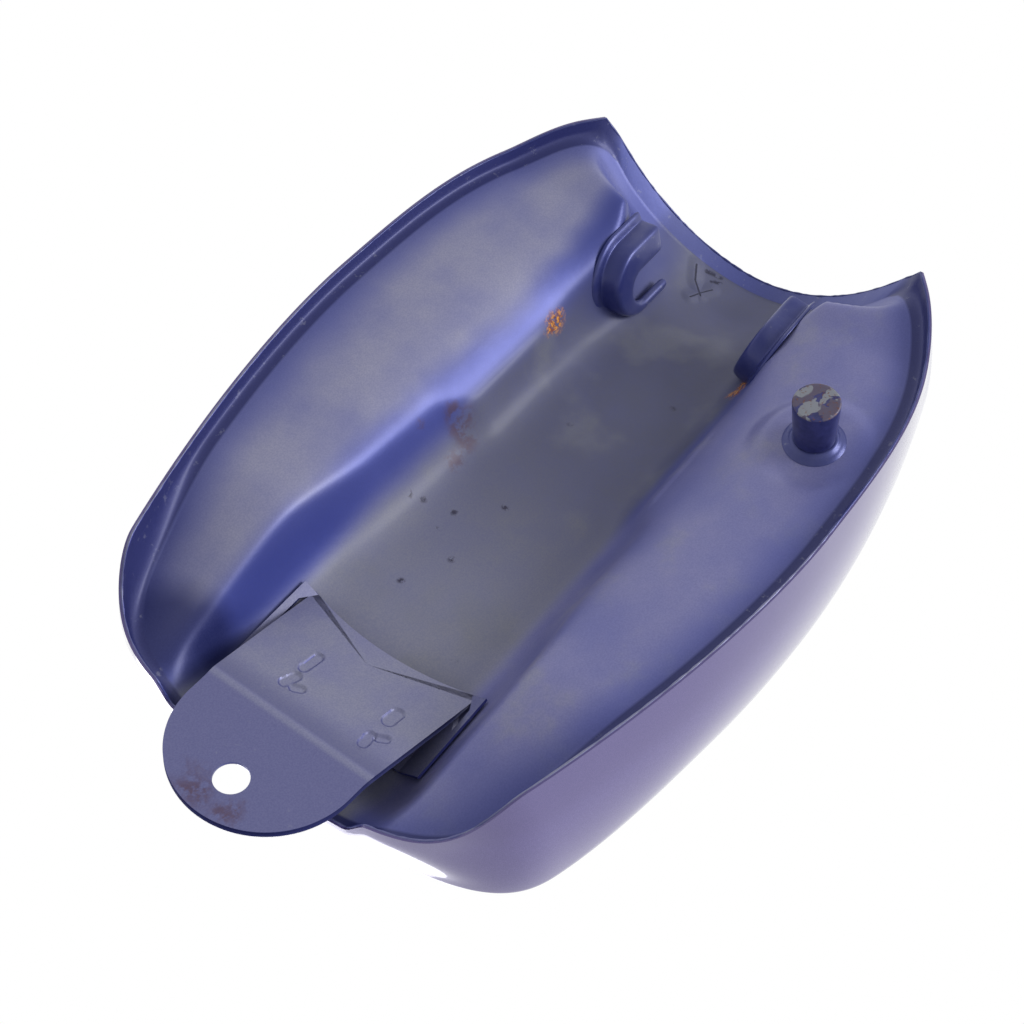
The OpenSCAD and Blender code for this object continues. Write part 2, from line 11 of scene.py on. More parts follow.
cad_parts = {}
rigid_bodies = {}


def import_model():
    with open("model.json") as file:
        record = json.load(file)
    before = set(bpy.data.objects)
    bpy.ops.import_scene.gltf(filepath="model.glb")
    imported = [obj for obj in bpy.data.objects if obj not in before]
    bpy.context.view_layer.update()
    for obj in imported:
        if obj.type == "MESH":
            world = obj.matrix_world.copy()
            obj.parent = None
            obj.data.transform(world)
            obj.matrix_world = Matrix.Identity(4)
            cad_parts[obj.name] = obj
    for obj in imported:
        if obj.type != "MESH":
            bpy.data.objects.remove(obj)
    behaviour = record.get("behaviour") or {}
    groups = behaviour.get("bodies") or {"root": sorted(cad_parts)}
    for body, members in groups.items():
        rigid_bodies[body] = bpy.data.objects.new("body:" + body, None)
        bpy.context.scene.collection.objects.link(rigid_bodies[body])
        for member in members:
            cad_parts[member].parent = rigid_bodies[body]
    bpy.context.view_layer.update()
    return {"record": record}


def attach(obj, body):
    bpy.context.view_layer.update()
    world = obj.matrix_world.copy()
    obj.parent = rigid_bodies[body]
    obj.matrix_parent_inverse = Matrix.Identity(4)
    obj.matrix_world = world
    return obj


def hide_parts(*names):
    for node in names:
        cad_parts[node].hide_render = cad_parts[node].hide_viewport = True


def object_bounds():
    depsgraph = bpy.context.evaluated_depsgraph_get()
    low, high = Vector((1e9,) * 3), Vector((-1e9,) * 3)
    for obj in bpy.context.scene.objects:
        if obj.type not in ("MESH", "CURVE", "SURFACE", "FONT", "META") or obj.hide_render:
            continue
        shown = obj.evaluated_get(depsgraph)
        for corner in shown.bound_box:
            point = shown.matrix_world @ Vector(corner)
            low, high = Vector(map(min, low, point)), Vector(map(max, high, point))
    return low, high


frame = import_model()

MM = 0.001

# ---- tank geometry, millimetres, in the design's own frame -------------------------
# the rim: half width, rear end, station and half width of the front horns
RIM_HALF, RIM_BACK, HORN_X, HORN_HALF = 165.7, -245.0, 225.0, 113.0
# the front arch's height and lean, then the shell's widest point
ARCH_H, ARCH_LEAN, SHELL_HALF, BELLY_Z = 90.0, 18.0, 173.0, 54.0
# the crown, the shell's sheet and the gap between shell and pan
CROWN_Z, CROWN_X, SHEET, GAP = 168.0, 60.0, 1.2, 0.15
# the pan: flange, tunnel roof, tunnel half width with its waist, rise of the lobes, sheet
FLANGE_H, ROOF_Z, TUNNEL_HALF, WAIST, LOBE_RISE, PAN_SHEET = 6.0, 71.0, 80.0, 9.0, 25.0, 0.8
# the outlet: seat, lean inward and backward in degrees, cap radius and reach
OUTLET = (88.5, 122.5, 12.0)
OUTLET_IN, OUTLET_BACK, OUTLET_R, OUTLET_REACH = 4.7, 5.7, 13.3, 35.0
# holes for the filler neck, and in the pan and the collar for the outlet tube
NECK_HOLE, PAN_HOLE, COLLAR_HOLE = 40.15, 10.2, 10.05
# where the rounded rear corners begin
CORNER_X = -180.0
# design steps along half of the rear end or front arch, and along a side
NC, NS = 14, 32
KK = 2 * NC + NS
FINE = 6  # mesh steps per design step

# the bolt hole's middle is the origin of the shared frame
SLOPE_F, SLOPE_B = math.radians(19.5), math.radians(6.6)
CREASE_X, CREASE_Z = -215.0, 31.5
TONGUE_X, TONGUE_R, TONGUE_T, HOLE_R, HOLE_X = -231.0, 52.0, 1.6, 9.3, -258.5
_hx = (HOLE_X - CREASE_X) / math.cos(SLOPE_B)
HOME = np.array([
    CREASE_X + _hx * math.cos(SLOPE_B) - TONGUE_T / 2 * math.sin(SLOPE_B), 0.0,
    CREASE_Z + _hx * math.sin(SLOPE_B) + TONGUE_T / 2 * math.cos(SLOPE_B)])


def to_row(p):
    """Design millimetres to metres in the shared frame."""
    return (np.asarray(p, float) - HOME) * MM


def clamp01(v):
    return np.clip(v, 0.0, 1.0)


def smooth(v):
    c = clamp01(v)
    return c * c * (3 - 2 * c)


def mix(a, b, w):
    return a + (b - a) * w


def pw(v, e):
    return np.power(np.maximum(v, 0.0), e)


def unit(v):
    n = np.linalg.norm(v, axis=-1, keepdims=True)
    return v / np.maximum(n, 1e-9)


def smax(a, b, k):
    return (a + b + np.sqrt((a - b) ** 2 + k * k)) / 2


def rim_y(x):
    return np.where(x < 25, RIM_HALF - 40 * pw((25 - x) / 221, 1.71),
                    HORN_HALF + 1 + (RIM_HALF - HORN_HALF - 1) * (1 - pw((x - 25) / 200, 3.4)))


def belly_y(x):
    return np.where(x < 18, SHELL_HALF - 26 * pw((18 - x) / 198, 2.1),
                    SHELL_HALF - 24.3 * pw((x - 18) / 171, 1.95) - 9 * pw((x - 185) / 36, 2))


def belly_h(x):
    return BELLY_Z + 16 * smooth((-70 - x) / 110)


def rim_z(x):
    return 24.5 * smooth((-190 - x) / 46) - 7 * smooth((x - 165) / 50)


def arch_z(y):
    return -4 + ARCH_H * (1 - pw(np.abs(y) / HORN_HALF, 1.9))


def arch_x(z):
    return HORN_X + 4 * clamp01((z + 4) / 8) + ARCH_LEAN * pw((z + 4) / ARCH_H, 1.7)


def back_a(k):
    return np.radians(78 * pw(k / NC, 1.35))


def corner_half(x, half, drop, e):
    """Half width with the rounded rear corner carried in."""
    tail = half(x) * pw(1 - pw((CORNER_X - x) / drop, e), 1 / e)
    return np.where(x > CORNER_X, half(x), tail)


def rim_pt(k):
    k = np.asarray(k, float)
    a = back_a(np.minimum(k, NC))
    end = back_a(NC)
    x_back = CORNER_X + (RIM_BACK - CORNER_X) * pw(np.cos(a), 0.588)
    y_back = rim_y(x_back) * pw(np.sin(a), 0.588)
    z_back = rim_z(x_back) + 13 * smooth((70 - y_back) / 14)
    x0 = CORNER_X + (RIM_BACK - CORNER_X) * pw(np.cos(end), 0.588)
    x_side = mix(x0, HORN_X - 0.01, clamp01((k - NC) / NS))
    y_side = corner_half(x_side, rim_y, CORNER_X - RIM_BACK, 3.4)
    j = clamp01((k - NC - NS) / NC)
    y_arch = HORN_HALF * (1 - pw(j, 0.9))
    z_arch = arch_z(y_arch)
    back, side = k <= NC, k <= NC + NS
    return np.stack([
        np.where(back, x_back, np.where(side, x_side, arch_x(z_arch))),
        np.where(back, y_back, np.where(side, y_side, y_arch)),
        np.where(back, z_back, np.where(side, rim_z(x_side), z_arch))], -1)


def belly_pt(k):
    k = np.asarray(k, float)
    drop = CORNER_X - RIM_BACK - 13
    a = back_a(np.minimum(k, NC))
    end = back_a(NC)
    x_back = CORNER_X - drop * pw(np.cos(a), 0.625)
    y_back = belly_y(x_back) * pw(np.sin(a), 0.625)
    x0 = CORNER_X - drop * pw(np.cos(end), 0.625)
    x_side = mix(x0, HORN_X - 3, clamp01((k - NC) / NS))
    y_side = corner_half(x_side, belly_y, drop, 3.2)
    p = rim_pt(k)
    h = clamp01((p[..., 2] + 4) / ARCH_H)
    back, side = k <= NC, k <= NC + NS
    return np.stack([
        np.where(back, x_back, np.where(side, x_side, p[..., 0] - 3 + 8 * smooth(h * 2))),
        np.where(back, y_back, np.where(side, y_side, p[..., 1] * mix(1.142, 1.13, h))),
        np.where(back, belly_h(x_back),
                 np.where(side, belly_h(x_side), mix(BELLY_Z, p[..., 2] + 18, smooth(h * 1.3))))], -1)


def design_inward():
    """Horizontal inward direction of the rim at each design step."""
    out = []
    for k in range(KK + 1):
        d = rim_pt(min(k + 1, KK)) - rim_pt(max(k - 1, 0))
        if k == 0:
            n = [1, 0, 0]
        elif k == KK:
            n = [0, 0, -1]
        elif k < NC + NS:
            n = [d[1], -d[0], 0]
        elif k == NC + NS:
            n = [-0.25, -1, -0.1]
        else:
            n = [0, -d[2], d[1]]
        n = unit(np.array(n, float))
        flip = n[1] > (0 if k > NC + NS else 0.001)
        out.append(-n if flip else n)
    return np.array(out)


_INWARD = design_inward()


def inward(k):
    k = np.asarray(k, float)
    i = np.clip(np.floor(k).astype(int), 0, KK - 1)
    w = (k - i)[..., None]
    return unit(_INWARD[i] * (1 - w) + _INWARD[i + 1] * w)


def stand(k):
    w = smooth((np.asarray(k, float) - NC - NS + 2) / 5)
    return unit(np.stack([-w, 0 * w, 1 - w], -1))


def tunnel_w(x):
    return TUNNEL_HALF - WAIST * smooth((x + 8) / 34) - 5 * smooth((x - 110) / 50) \
        + 3 * smooth((-60 - x) / 60)


def roof(x):
    return ROOF_Z - 5 * smooth((-20 - x) / 110) + 8 * smooth((x - 40) / 160) - 21 * smooth((-200 - x) / 40)


def lobe(x, y):
    ye = rim_y(np.maximum(x, CORNER_X)) - 9
    u = np.clip(ye - np.abs(y), 0, 92)
    q = smooth((-150 - x) / 80)
    return 9.5 + np.minimum(rim_z(x), 0) + 25 * smooth((-115 - x) / 118) \
        + LOBE_RISE * (1 - 0.8 * q) * pw(u / 84, 2.6) * (1 - 0.35 * smooth((x - 90) / 110))


def tunnel(x, y):
    t = roof(x) * (1 - pw(np.abs(y) / tunnel_w(x), 6 + smooth((-60 - x) / 60)))
    return mix(np.maximum(t, -60), np.maximum(arch_z(y) + 2, -60), smooth((x - 160) / 52))


def seat_z(x, y):
    return OUTLET[2] - math.tan(math.radians(OUTLET_BACK)) * (x - OUTLET[0]) \
        - math.tan(math.radians(OUTLET_IN)) * (y - OUTLET[1])


def under(x, y):
    b = smax(lobe(x, y), tunnel(x, y), 9)
    w = smooth((38 - np.hypot(x - OUTLET[0], y - OUTLET[1])) / 13)
    return mix(b, seat_z(x, y), w)


def spine_x(x):
    return 26 + 0.62 * x


def crown(x):
    return CROWN_Z - 0.0011 * (x - CROWN_X) ** 2


# ---- mesh helpers ------------------------------------------------------------------
def new_mesh(name, verts, faces, uvs=None, angle=None):
    """Smooth mesh object from design millimetres; uvs hold one pair per vertex."""
    me = bpy.data.meshes.new(name)
    me.from_pydata([tuple(v) for v in to_row(verts)], [], [tuple(int(i) for i in f) for f in faces])
    me.validate()
    me.shade_smooth()
    if uvs is not None:
        layer = me.uv_layers.new(name="UVMap")
        idx = np.empty(len(me.loops), int)
        me.loops.foreach_get("vertex_index", idx)
        layer.data.foreach_set("uv", np.asarray(uvs, float)[idx].ravel())
    if angle is not None:
        me.set_sharp_from_angle(angle=math.radians(angle))
    ob = bpy.data.objects.new(name, me)
    bpy.context.scene.collection.objects.link(ob)
    return ob


def mark(ob, name, values):
    """Store one number per vertex for the materials."""
    ob.data.attributes.new(name, "FLOAT", "POINT").data.foreach_set("value", np.asarray(values, np.float32))


def grid_faces(rows, cols, base=0, wrap=False):
    out = []
    last = cols if wrap else cols - 1
    for i in range(rows - 1):
        for j in range(last):
            a, b = i * cols + j, i * cols + (j + 1) % cols
            out.append((base + a, base + b, base + b + cols, base + a + cols))
    return out


def closing_faces(rows, cols):
    """Faces from the last ring of a wrapped grid back to its first."""
    last = (rows - 1) * cols
    return [(last + j, last + (j + 1) % cols, (j + 1) % cols, j) for j in range(cols)]


def apply_modifiers(ob):
    dg = bpy.context.evaluated_depsgraph_get()
    me = bpy.data.meshes.new_from_object(ob.evaluated_get(dg))
    old, ob.data = ob.data, me
    ob.modifiers.clear()
    bpy.data.meshes.remove(old)


def cut(ob, tool):
    """Boolean difference, applied; the tool is removed."""
    m = ob.modifiers.new("cut", "BOOLEAN")
    m.operation, m.solver, m.object = "DIFFERENCE", "EXACT", tool
    apply_modifiers(ob)
    bpy.data.objects.remove(tool, do_unlink=True)


def frame_on(axis_z, origin):
    """Matrix (design mm) whose z axis is axis_z and whose origin is origin."""
    z = unit(np.array(axis_z, float))
    x = unit(np.cross([0, 1, 0], z))
    y = np.cross(z, x)
    m = np.eye(4)
    m[:3, 0], m[:3, 1], m[:3, 2], m[:3, 3] = x, y, z, origin
    return m


_in, _back = math.radians(OUTLET_IN), math.radians(OUTLET_BACK)
OUTLET_UP = (math.cos(_in) * math.sin(_back), math.sin(_in), math.cos(_in) * math.cos(_back))
OUTLET_M = frame_on(OUTLET_UP, OUTLET)


def place(m, pts):
    pts = np.asarray(pts, float)
    return pts @ m[:3, :3].T + m[:3, 3]


def lathe(name, profile, m, segs=96, closed=True, angle=40):
    """Profile of (radius, height) pairs turned about the z axis of m."""
    prof = np.array(profile, float)
    t = np.linspace(0, 2 * math.pi, segs, endpoint=False)
    pts = np.stack([prof[:, None, 0] * np.cos(t), prof[:, None, 0] * np.sin(t),
                    np.repeat(prof[:, None, 1], segs, 1)], -1).reshape(-1, 3)
    faces = grid_faces(len(prof), segs, wrap=True)
    n = len(prof)
    if closed:
        faces += closing_faces(n, segs)
    else:
        faces.append(tuple(range(segs - 1, -1, -1)))
        faces.append(tuple((n - 1) * segs + j for j in range(segs)))
    ob = new_mesh(name, place(m, pts), faces, angle=angle)
    fix_normals(ob)
    return ob


def fix_normals(ob):
    bm = bmesh.new()
    bm.from_mesh(ob.data)
    bmesh.ops.recalc_face_normals(bm, faces=bm.faces)
    bm.to_mesh(ob.data)
    bm.free()


def arc(cx, cy, r, a0, a1, n):
    return [(cx + r * math.cos(math.radians(a)), cy + r * math.sin(math.radians(a)))
            for a in np.linspace(a0, a1, n)]


# ---- outer shell -------------------------------------------------------------------
LOOP = 2 * KK * FINE


def loop_steps():
    m = np.arange(LOOP)
    half = KK * FINE
    k = np.where(m <= half, m, LOOP - m) / FINE
    return k, np.where(m <= half, 1.0, -1.0)


def shell_rings(off):
    """Rings of the shell from the rim to the ridge, off millimetres inward."""
    k, s = loop_steps()
    n0 = inward(k)
    n1 = np.where((k > NC + NS)[:, None], mix(n0, unit(np.array([-1, -0.2, 0.0])), 0.75), n0)
    p = rim_pt(k) + n0 * off
    w = belly_pt(k) + n1 * off
    rings = []
    for u in np.linspace(0, 1, 15):
        e = mix(math.sin(math.pi / 2 * u), smooth((u - 0.15) / 0.85), smooth((NC + 1 - k) / 5))
        rings.append(np.stack([mix(p[:, 0], w[:, 0], e), mix(p[:, 1], w[:, 1], e),
                               mix(p[:, 2], w[:, 2], u)], -1))
    sx = spine_x(belly_pt(k)[:, 0])
    for v in np.linspace(0, 1, 46)[1:] ** 1.12:
        a = math.pi / 2 * v
        c = max(math.cos(a), 0) ** 0.84
        x = sx + (w[:, 0] - sx) * c
        rings.append(np.stack([x, w[:, 1] * c,
                               w[:, 2] + (crown(x) - off - w[:, 2]) * math.sin(a) ** 0.84], -1))
    out = np.array(rings)
    out[..., 1] *= s
    return out


def build_shell():
    outer = shell_rings(0.0)
    inner = shell_rings(SHEET)
    nr = len(outer)
    stack = np.concatenate([outer, inner[::-1]])
    faces = grid_faces(2 * nr, LOOP, wrap=True) + closing_faces(2 * nr, LOOP)
    ob = new_mesh("tank_shell", stack.reshape(-1, 3), faces, angle=50)
    bm = bmesh.new()
    bm.from_mesh(ob.data)
    bmesh.ops.remove_doubles(bm, verts=bm.verts, dist=0.00003)
    bmesh.ops.dissolve_degenerate(bm, edges=bm.edges, dist=0.00001)
    bmesh.ops.recalc_face_normals(bm, faces=bm.faces)
    bm.to_mesh(ob.data)
    bm.free()
    hole = lathe("hole_tool", [(NECK_HOLE, CROWN_Z - 20), (NECK_HOLE, CROWN_Z + 20)],
                 frame_on((0, 0, 1), (CROWN_X, 0, 0)), segs=128, closed=False)
    cut(ob, hole)
    ob.data.shade_smooth()
    ob.data.set_sharp_from_angle(angle=math.radians(50))
    return ob


# ---- underside pan -----------------------------------------------------------------
def flange_profile(k, s):
    """Rings from the foot of the flange, over the fillet, to the patch edge."""
    p, n, g = rim_pt(k), inward(k), stand(k)
    base = SHEET + GAP
    rings = [p + n * (base + d) + g * h for d, h in ((0.8, 0.6), (0.9, 2.4), (1.0, 4.4), (1.1, 6.0))]

    def on_under(d, h):
        q = p + n * (base + d) + g * h
        q = q.copy()
        q[:, 2] = under(q[:, 0], q[:, 1] * s)
        return q
    b0, b3 = rings[-1], on_under(9, FLANGE_H + 4)
    b1 = b0 + g * 3.6
    b2 = on_under(4.2, FLANGE_H + 3.4)
    for t in np.linspace(0, 1, 10)[1:]:
        rings.append(b0 * (1 - t) ** 3 + b1 * 3 * t * (1 - t) ** 2 + b2 * 3 * t * t * (1 - t) + b3 * t ** 3)
    out = np.array(rings)
    # across the front arch the flange is one plain sloping band
    band = np.linspace(0, 1, len(out))[:, None, None] ** 0.9
    plain_band = mix((p + n * (base + 0.8) + g * 0.3)[None], b3[None], band)
    out = mix(out, plain_band, smooth((k - (NC + NS) - 0.2) / 0.8)[None, :, None])
    out[..., 1] *= s
    return out


def patch_edge(k):
    p, n, g = rim_pt(k), inward(k), stand(k)
    q = p + n * (SHEET + GAP + 9) + g * (FLANGE_H + 4)
    q[..., 2] = under(q[..., 0], q[..., 1])
    return q


def build_pan():
    nc, ns = NC * FINE, NS * FINE
    side = patch_edge(NC + np.arange(ns + 1) / FINE)
    back = patch_edge(np.arange(nc + 1) / FINE)
    front = patch_edge(KK - np.arange(nc + 1) / FINE)
    a = np.arange(nc + 1) / nc
    col = np.where(a < 0.36, a / 0.36 * 0.34,
                   np.where(a < 0.72, mix(0.34, 0.56, (a - 0.36) / 0.36), mix(0.56, 1, (a - 0.72) / 0.28)))
    u = (np.arange(ns + 1) / ns)[:, None]
    x = side[:, None, 0] + (1 - u) * (back[None, :, 0] - side[0, 0]) + u * (front[None, :, 0] - side[-1, 0])
    wb, wf = back[None, :, 1] / side[0, 1], front[None, :, 1] / side[-1, 1]
    v = col[None, :] + pw(1 - u, 4) * (wb - col) + pw(u, 4) * (wf - col)
    y = side[:, None, 1] * v
    x[:, -1], y[:, -1] = side[:, 0], side[:, 1]
    x[0], y[0], x[-1], y[-1] = back[:, 0], back[:, 1], front[:, 0], front[:, 1]
    xs = np.concatenate([x[:, :0:-1], x], 1)
    ys = np.concatenate([-y[:, :0:-1], y], 1)
    zs = under(xs, ys)
    cols = 2 * nc + 1
    low = np.stack([xs, ys, zs], -1).reshape(-1, 3)
    faces = grid_faces(ns + 1, cols)

    def pid(i, j):
        return i * cols + j + nc
    # the patch's rim in the order of loop_steps
    rim = []
    half = KK * FINE
    for m in range(LOOP):
        k, s = (m, 1) if m <= half else (LOOP - m, -1)
        if k <= nc:
            rim.append(pid(0, s * k))
        elif k <= nc + ns:
            rim.append(pid(k - nc, s * nc))
        else:
            rim.append(pid(ns, s * (half - k)))
    k, s = loop_steps()
    rings = flange_profile(k, s)[:-1][::-1]  # from next to the patch down to the foot
    base = len(low)
    low = np.concatenate([low, rings.reshape(-1, 3)])
    ids = [rim] + [[base + r * LOOP + m for m in range(LOOP)] for r in range(len(rings))]
    for lo, hi in zip(ids, ids[1:]):
        for m in range(LOOP):
            n = (m + 1) % LOOP
            faces.append((lo[m], lo[n], hi[n], hi[m]))
    ob = new_mesh("tank_underside", low, faces)
    # marks for the paint: the turned edge, the arch band, and how far in from the edge
    turned = np.concatenate([np.zeros(base), np.ones(len(rings) * LOOP)])
    fore = smooth((k - (NC + NS) - 0.2) / 0.8)
    mark(ob, "turned", turned)
    edge_pts = low[rim]
    to_edge = np.array([np.linalg.norm(edge_pts - q, axis=1).min() for q in low[:base]])
    mark(ob, "inset", np.concatenate([smooth(to_edge / 24), np.zeros(len(low) - base)]))
    mark(ob, "fore", turned * np.concatenate([np.zeros(base), np.tile(fore, len(rings))]))
    bm = bmesh.new()
    bm.from_mesh(ob.data)
    bmesh.ops.recalc_face_normals(bm, faces=bm.faces)
    # the visible side looks down
    mid = min(bm.faces, key=lambda f: (f.calc_center_median() - Vector(to_row((0, 0, 71)))).length)
    if mid.normal.z > 0:
        bmesh.ops.reverse_faces(bm, faces=bm.faces)
    bm.to_mesh(ob.data)
    bm.free()
    thick = ob.modifiers.new("sheet", "SOLIDIFY")
    thick.thickness, thick.offset = PAN_SHEET * MM, -1.0
    thick.use_even_offset = False
    apply_modifiers(ob)
    tool = lathe("hole_tool", [(PAN_HOLE, -20), (PAN_HOLE, 20)], OUTLET_M, segs=64, closed=False)
    cut(ob, tool)
    ob.data.shade_smooth()
    ob.data.set_sharp_from_angle(angle=math.radians(50))
    return ob


# ---- rear tongue -------------------------------------------------------------------
FOLD = 4.0  # half length of the bend at the crease
_s = np.linspace(-80, 100, 1801)
_a = mix(SLOPE_B, SLOPE_F, smooth((_s + FOLD) / (2 * FOLD)))
_fx = np.cumsum(np.cos(_a)) * 0.1
_fz = np.cumsum(np.sin(_a)) * 0.1
_fx += CREASE_X - np.interp(0, _s, _fx)
_fz += CREASE_Z - np.interp(0, _s, _fz)
# press marks of the spot welds: centre along and across, half length, half width, turn
DIMPLES = [(41, -20.8, 9.5, 3.4, 0), (23, -20, 7.5, 3.6, 10), (20.5, -13, 5, 3.2, 60),
           (41, 34, 8, 4.2, 0), (18.5, 34.4, 7, 3.4, -6), (24.5, 39.5, 5, 3.0, 55)]


def tongue_place(p):
    """Unrolled (along, across, height) to design millimetres."""
    a = np.interp(p[:, 0], _s, _a)
    x = np.interp(p[:, 0], _s, _fx) - np.sin(a) * p[:, 2]
    z = np.interp(p[:, 0], _s, _fz) + np.cos(a) * p[:, 2]
    return np.stack([x, p[:, 1], z], -1)


def tongue_outline(n=520):
    bx = (TONGUE_X - CREASE_X) / math.cos(SLOPE_B)
    pts = [(bx + TONGUE_R * math.cos(a), TONGUE_R * math.sin(a))
           for a in np.linspace(math.pi, math.pi / 2, 90)]
    pts += [(-6, 52.2), (0, 52.8), (20, 53.6), (50, 54.8), (78, 55.8)]
    pts += [(234 - math.sqrt(157 ** 2 - y * y), y) for y in np.linspace(56, 0, 60)]
    pts += [(a, -b) for a, b in pts[-2::-1]]
    p = np.array(pts[:-1])
    seg = np.linalg.norm(np.roll(p, -1, 0) - p, axis=1)
    cum = np.concatenate([[0], np.cumsum(seg)])
    t = np.linspace(0, cum[-1], n, endpoint=False)
    q = np.concatenate([p, p[:1]])
    return np.stack([np.interp(t, cum, q[:, 0]), np.interp(t, cum, q[:, 1])], -1)


def build_tongue():
    out = tongue_outline()
    d = unit(np.roll(out, -1, 0) - np.roll(out, 1, 0))
    n = np.stack([d[:, 1], -d[:, 0]], -1)
    if np.dot(n[0], [1, 0]) < 0:
        n = -n
    roll = smooth((84 - out[:, 0]) / 22)  # the rim is rolled everywhere but at the weld
    edge_r = 4.2
    rings = []
    hub = np.stack([np.clip(out[:, 0], -16, 62), 0 * out[:, 1]], -1)
    inner = out + n * edge_r
    # inside top face, from the middle outward
    for w in (1.0, 0.6, 0.3, 0.0):
        q = mix(out + n * (edge_r + 1.2), hub, w)
        rings.append(np.column_stack([q, np.full(len(q), TONGUE_T)]))
    for d0, h0 in ((3.2, 2.1), (2.2, 3.2), (1.7, 4.5), (0.9, 4.9), (0.25, 4.7), (0, 4.1)):
        rings.append(np.column_stack([out + n * d0, mix(min(h0, TONGUE_T), h0, roll)]))
    for ang in np.linspace(0, 90, 9)[1:]:
        c = math.radians(ang)
        dd = edge_r * (1 - math.sin(c))
        h = edge_r * (1 - math.cos(math.pi / 2 - c))
        rings.append(np.column_stack([out + n * dd, h * mix(0.12, 1, roll)]))
    for w in np.linspace(0, 1, 64)[1:]:
        q = mix(inner, hub, w)
        rings.append(np.column_stack([q, np.zeros(len(q))]))
    r = np.array(rings)
    bottom = r[10:]
    for cx, cy, la, lb, turn in DIMPLES:
        c, sn = math.cos(math.radians(turn)), math.sin(math.radians(turn))
        u = (bottom[..., 0] - cx) * c + (bottom[..., 1] - cy) * sn
        v = -(bottom[..., 0] - cx) * sn + (bottom[..., 1] - cy) * c
        straight = np.clip(u, -(la - lb), la - lb)
        dist = np.hypot(u - straight, v)
        bottom[..., 2] += 0.9 * smooth((lb - dist) / 1.1) - 0.25 * np.exp(-((dist - lb - 0.5) / 0.6) ** 2)
    m = len(out)
    faces = grid_faces(len(r), m, wrap=True)
    ob = new_mesh("rear_tongue_skin", tongue_place(r.reshape(-1, 3)), faces)
    on_edge = [1.0 if 3 < i < 17 else 0.0 for i in range(len(r))]
    mark(ob, "turned", np.repeat(on_edge, m) * np.tile(roll, len(r)))
    bm = bmesh.new()
    bm.from_mesh(ob.data)
    bmesh.ops.remove_doubles(bm, verts=bm.verts, dist=0.00005)
    bmesh.ops.holes_fill(bm, edges=[e for e in bm.edges if e.is_boundary], sides=0)
    bmesh.ops.recalc_face_normals(bm, faces=bm.faces)
    bm.to_mesh(ob.data)
    bm.free()
    axis = (-math.sin(SLOPE_B), 0, math.cos(SLOPE_B))
    cut(ob, lathe("hole_tool", [(HOLE_R, -9), (HOLE_R, 9)], frame_on(axis, HOME), segs=96, closed=False))
    ob.data.shade_smooth()
    ob.data.set_sharp_from_angle(angle=math.radians(42))
    return ob


# ---- outlet ------------------------------------------------------------------------
def build_outlet_cap():
    r, top = OUTLET_R, -OUTLET_REACH
    r2 = r - 1.5
    prof = arc(r - 1.1, top + 1.1, 1.1, 180 + 90, 360, 7)
    prof = [(0.01, top), (r * 0.5, top), (r - 2.4, top)] + prof
    prof += [(r - 0.15, top + 6), (r - 0.5, top + 14), (r2 + 0.25, -8), (r2, -4.6), (r2 - 0.5, -4.3),
             (10.3, -4.4), (10.3, top + 3.6), (9.6, top + 3.2), (0.01, top + 3.2)]
    return lathe("outlet_cap_skin", prof, OUTLET_M, 128, angle=35)


def build_collar():
    r = OUTLET_R
    prof = [(COLLAR_HOLE, -0.3), (COLLAR_HOLE, -4.0), (r - 1.2, -4.2), (r - 0.2, -3.9),
            (r + 0.6, -3.0), (r + 1.4, -2.2), (r + 2.4, -1.7), (r + 3.3, -1.2),
            (r + 4.2, -0.5), (r + 4.6, -0.15), (r + 4.2, -0.05)]
    return lathe("outlet_collar_skin", prof, OUTLET_M, 128, angle=50)


# ---- front cups --------------------------------------------------------------------
# centre, inner radius, reach toward the middle, radius of the opening, tilt in degrees
CUP = dict(x=168.0, z=53.0, r=22.0, reach=14.0, hole=12.5, tilt=14.0)
# the opening's centre, forward and up of the cup's
CUP_HOLE_AT = dict(cx=3.0, cy=6.0)


def cup_outline(r, n_arc=40, front=26.0, cx=0.0, cy=0.0):
    """Horseshoe open to +x, from the lower front end round the back."""
    pts = [(front, cy - r), (front * 0.5, cy - r)]
    pts += [(cx + r * math.cos(a), cy + r * math.sin(a))
            for a in np.linspace(-math.pi / 2, -1.5 * math.pi, n_arc)]
    pts += [(front * 0.5, cy + r), (front, cy + r)]
    return np.array(pts)


def cup_place(p, s):
    """Cup coordinates (forward, up, toward the middle) to design millimetres."""
    t = math.radians(CUP["tilt"])
    y, z = -p[:, 2], p[:, 1]
    y, z = y * math.cos(t) - z * math.sin(t), y * math.sin(t) + z * math.cos(t)
    return np.stack([CUP["x"] + p[:, 0], s * (57 + y), CUP["z"] + z], -1)


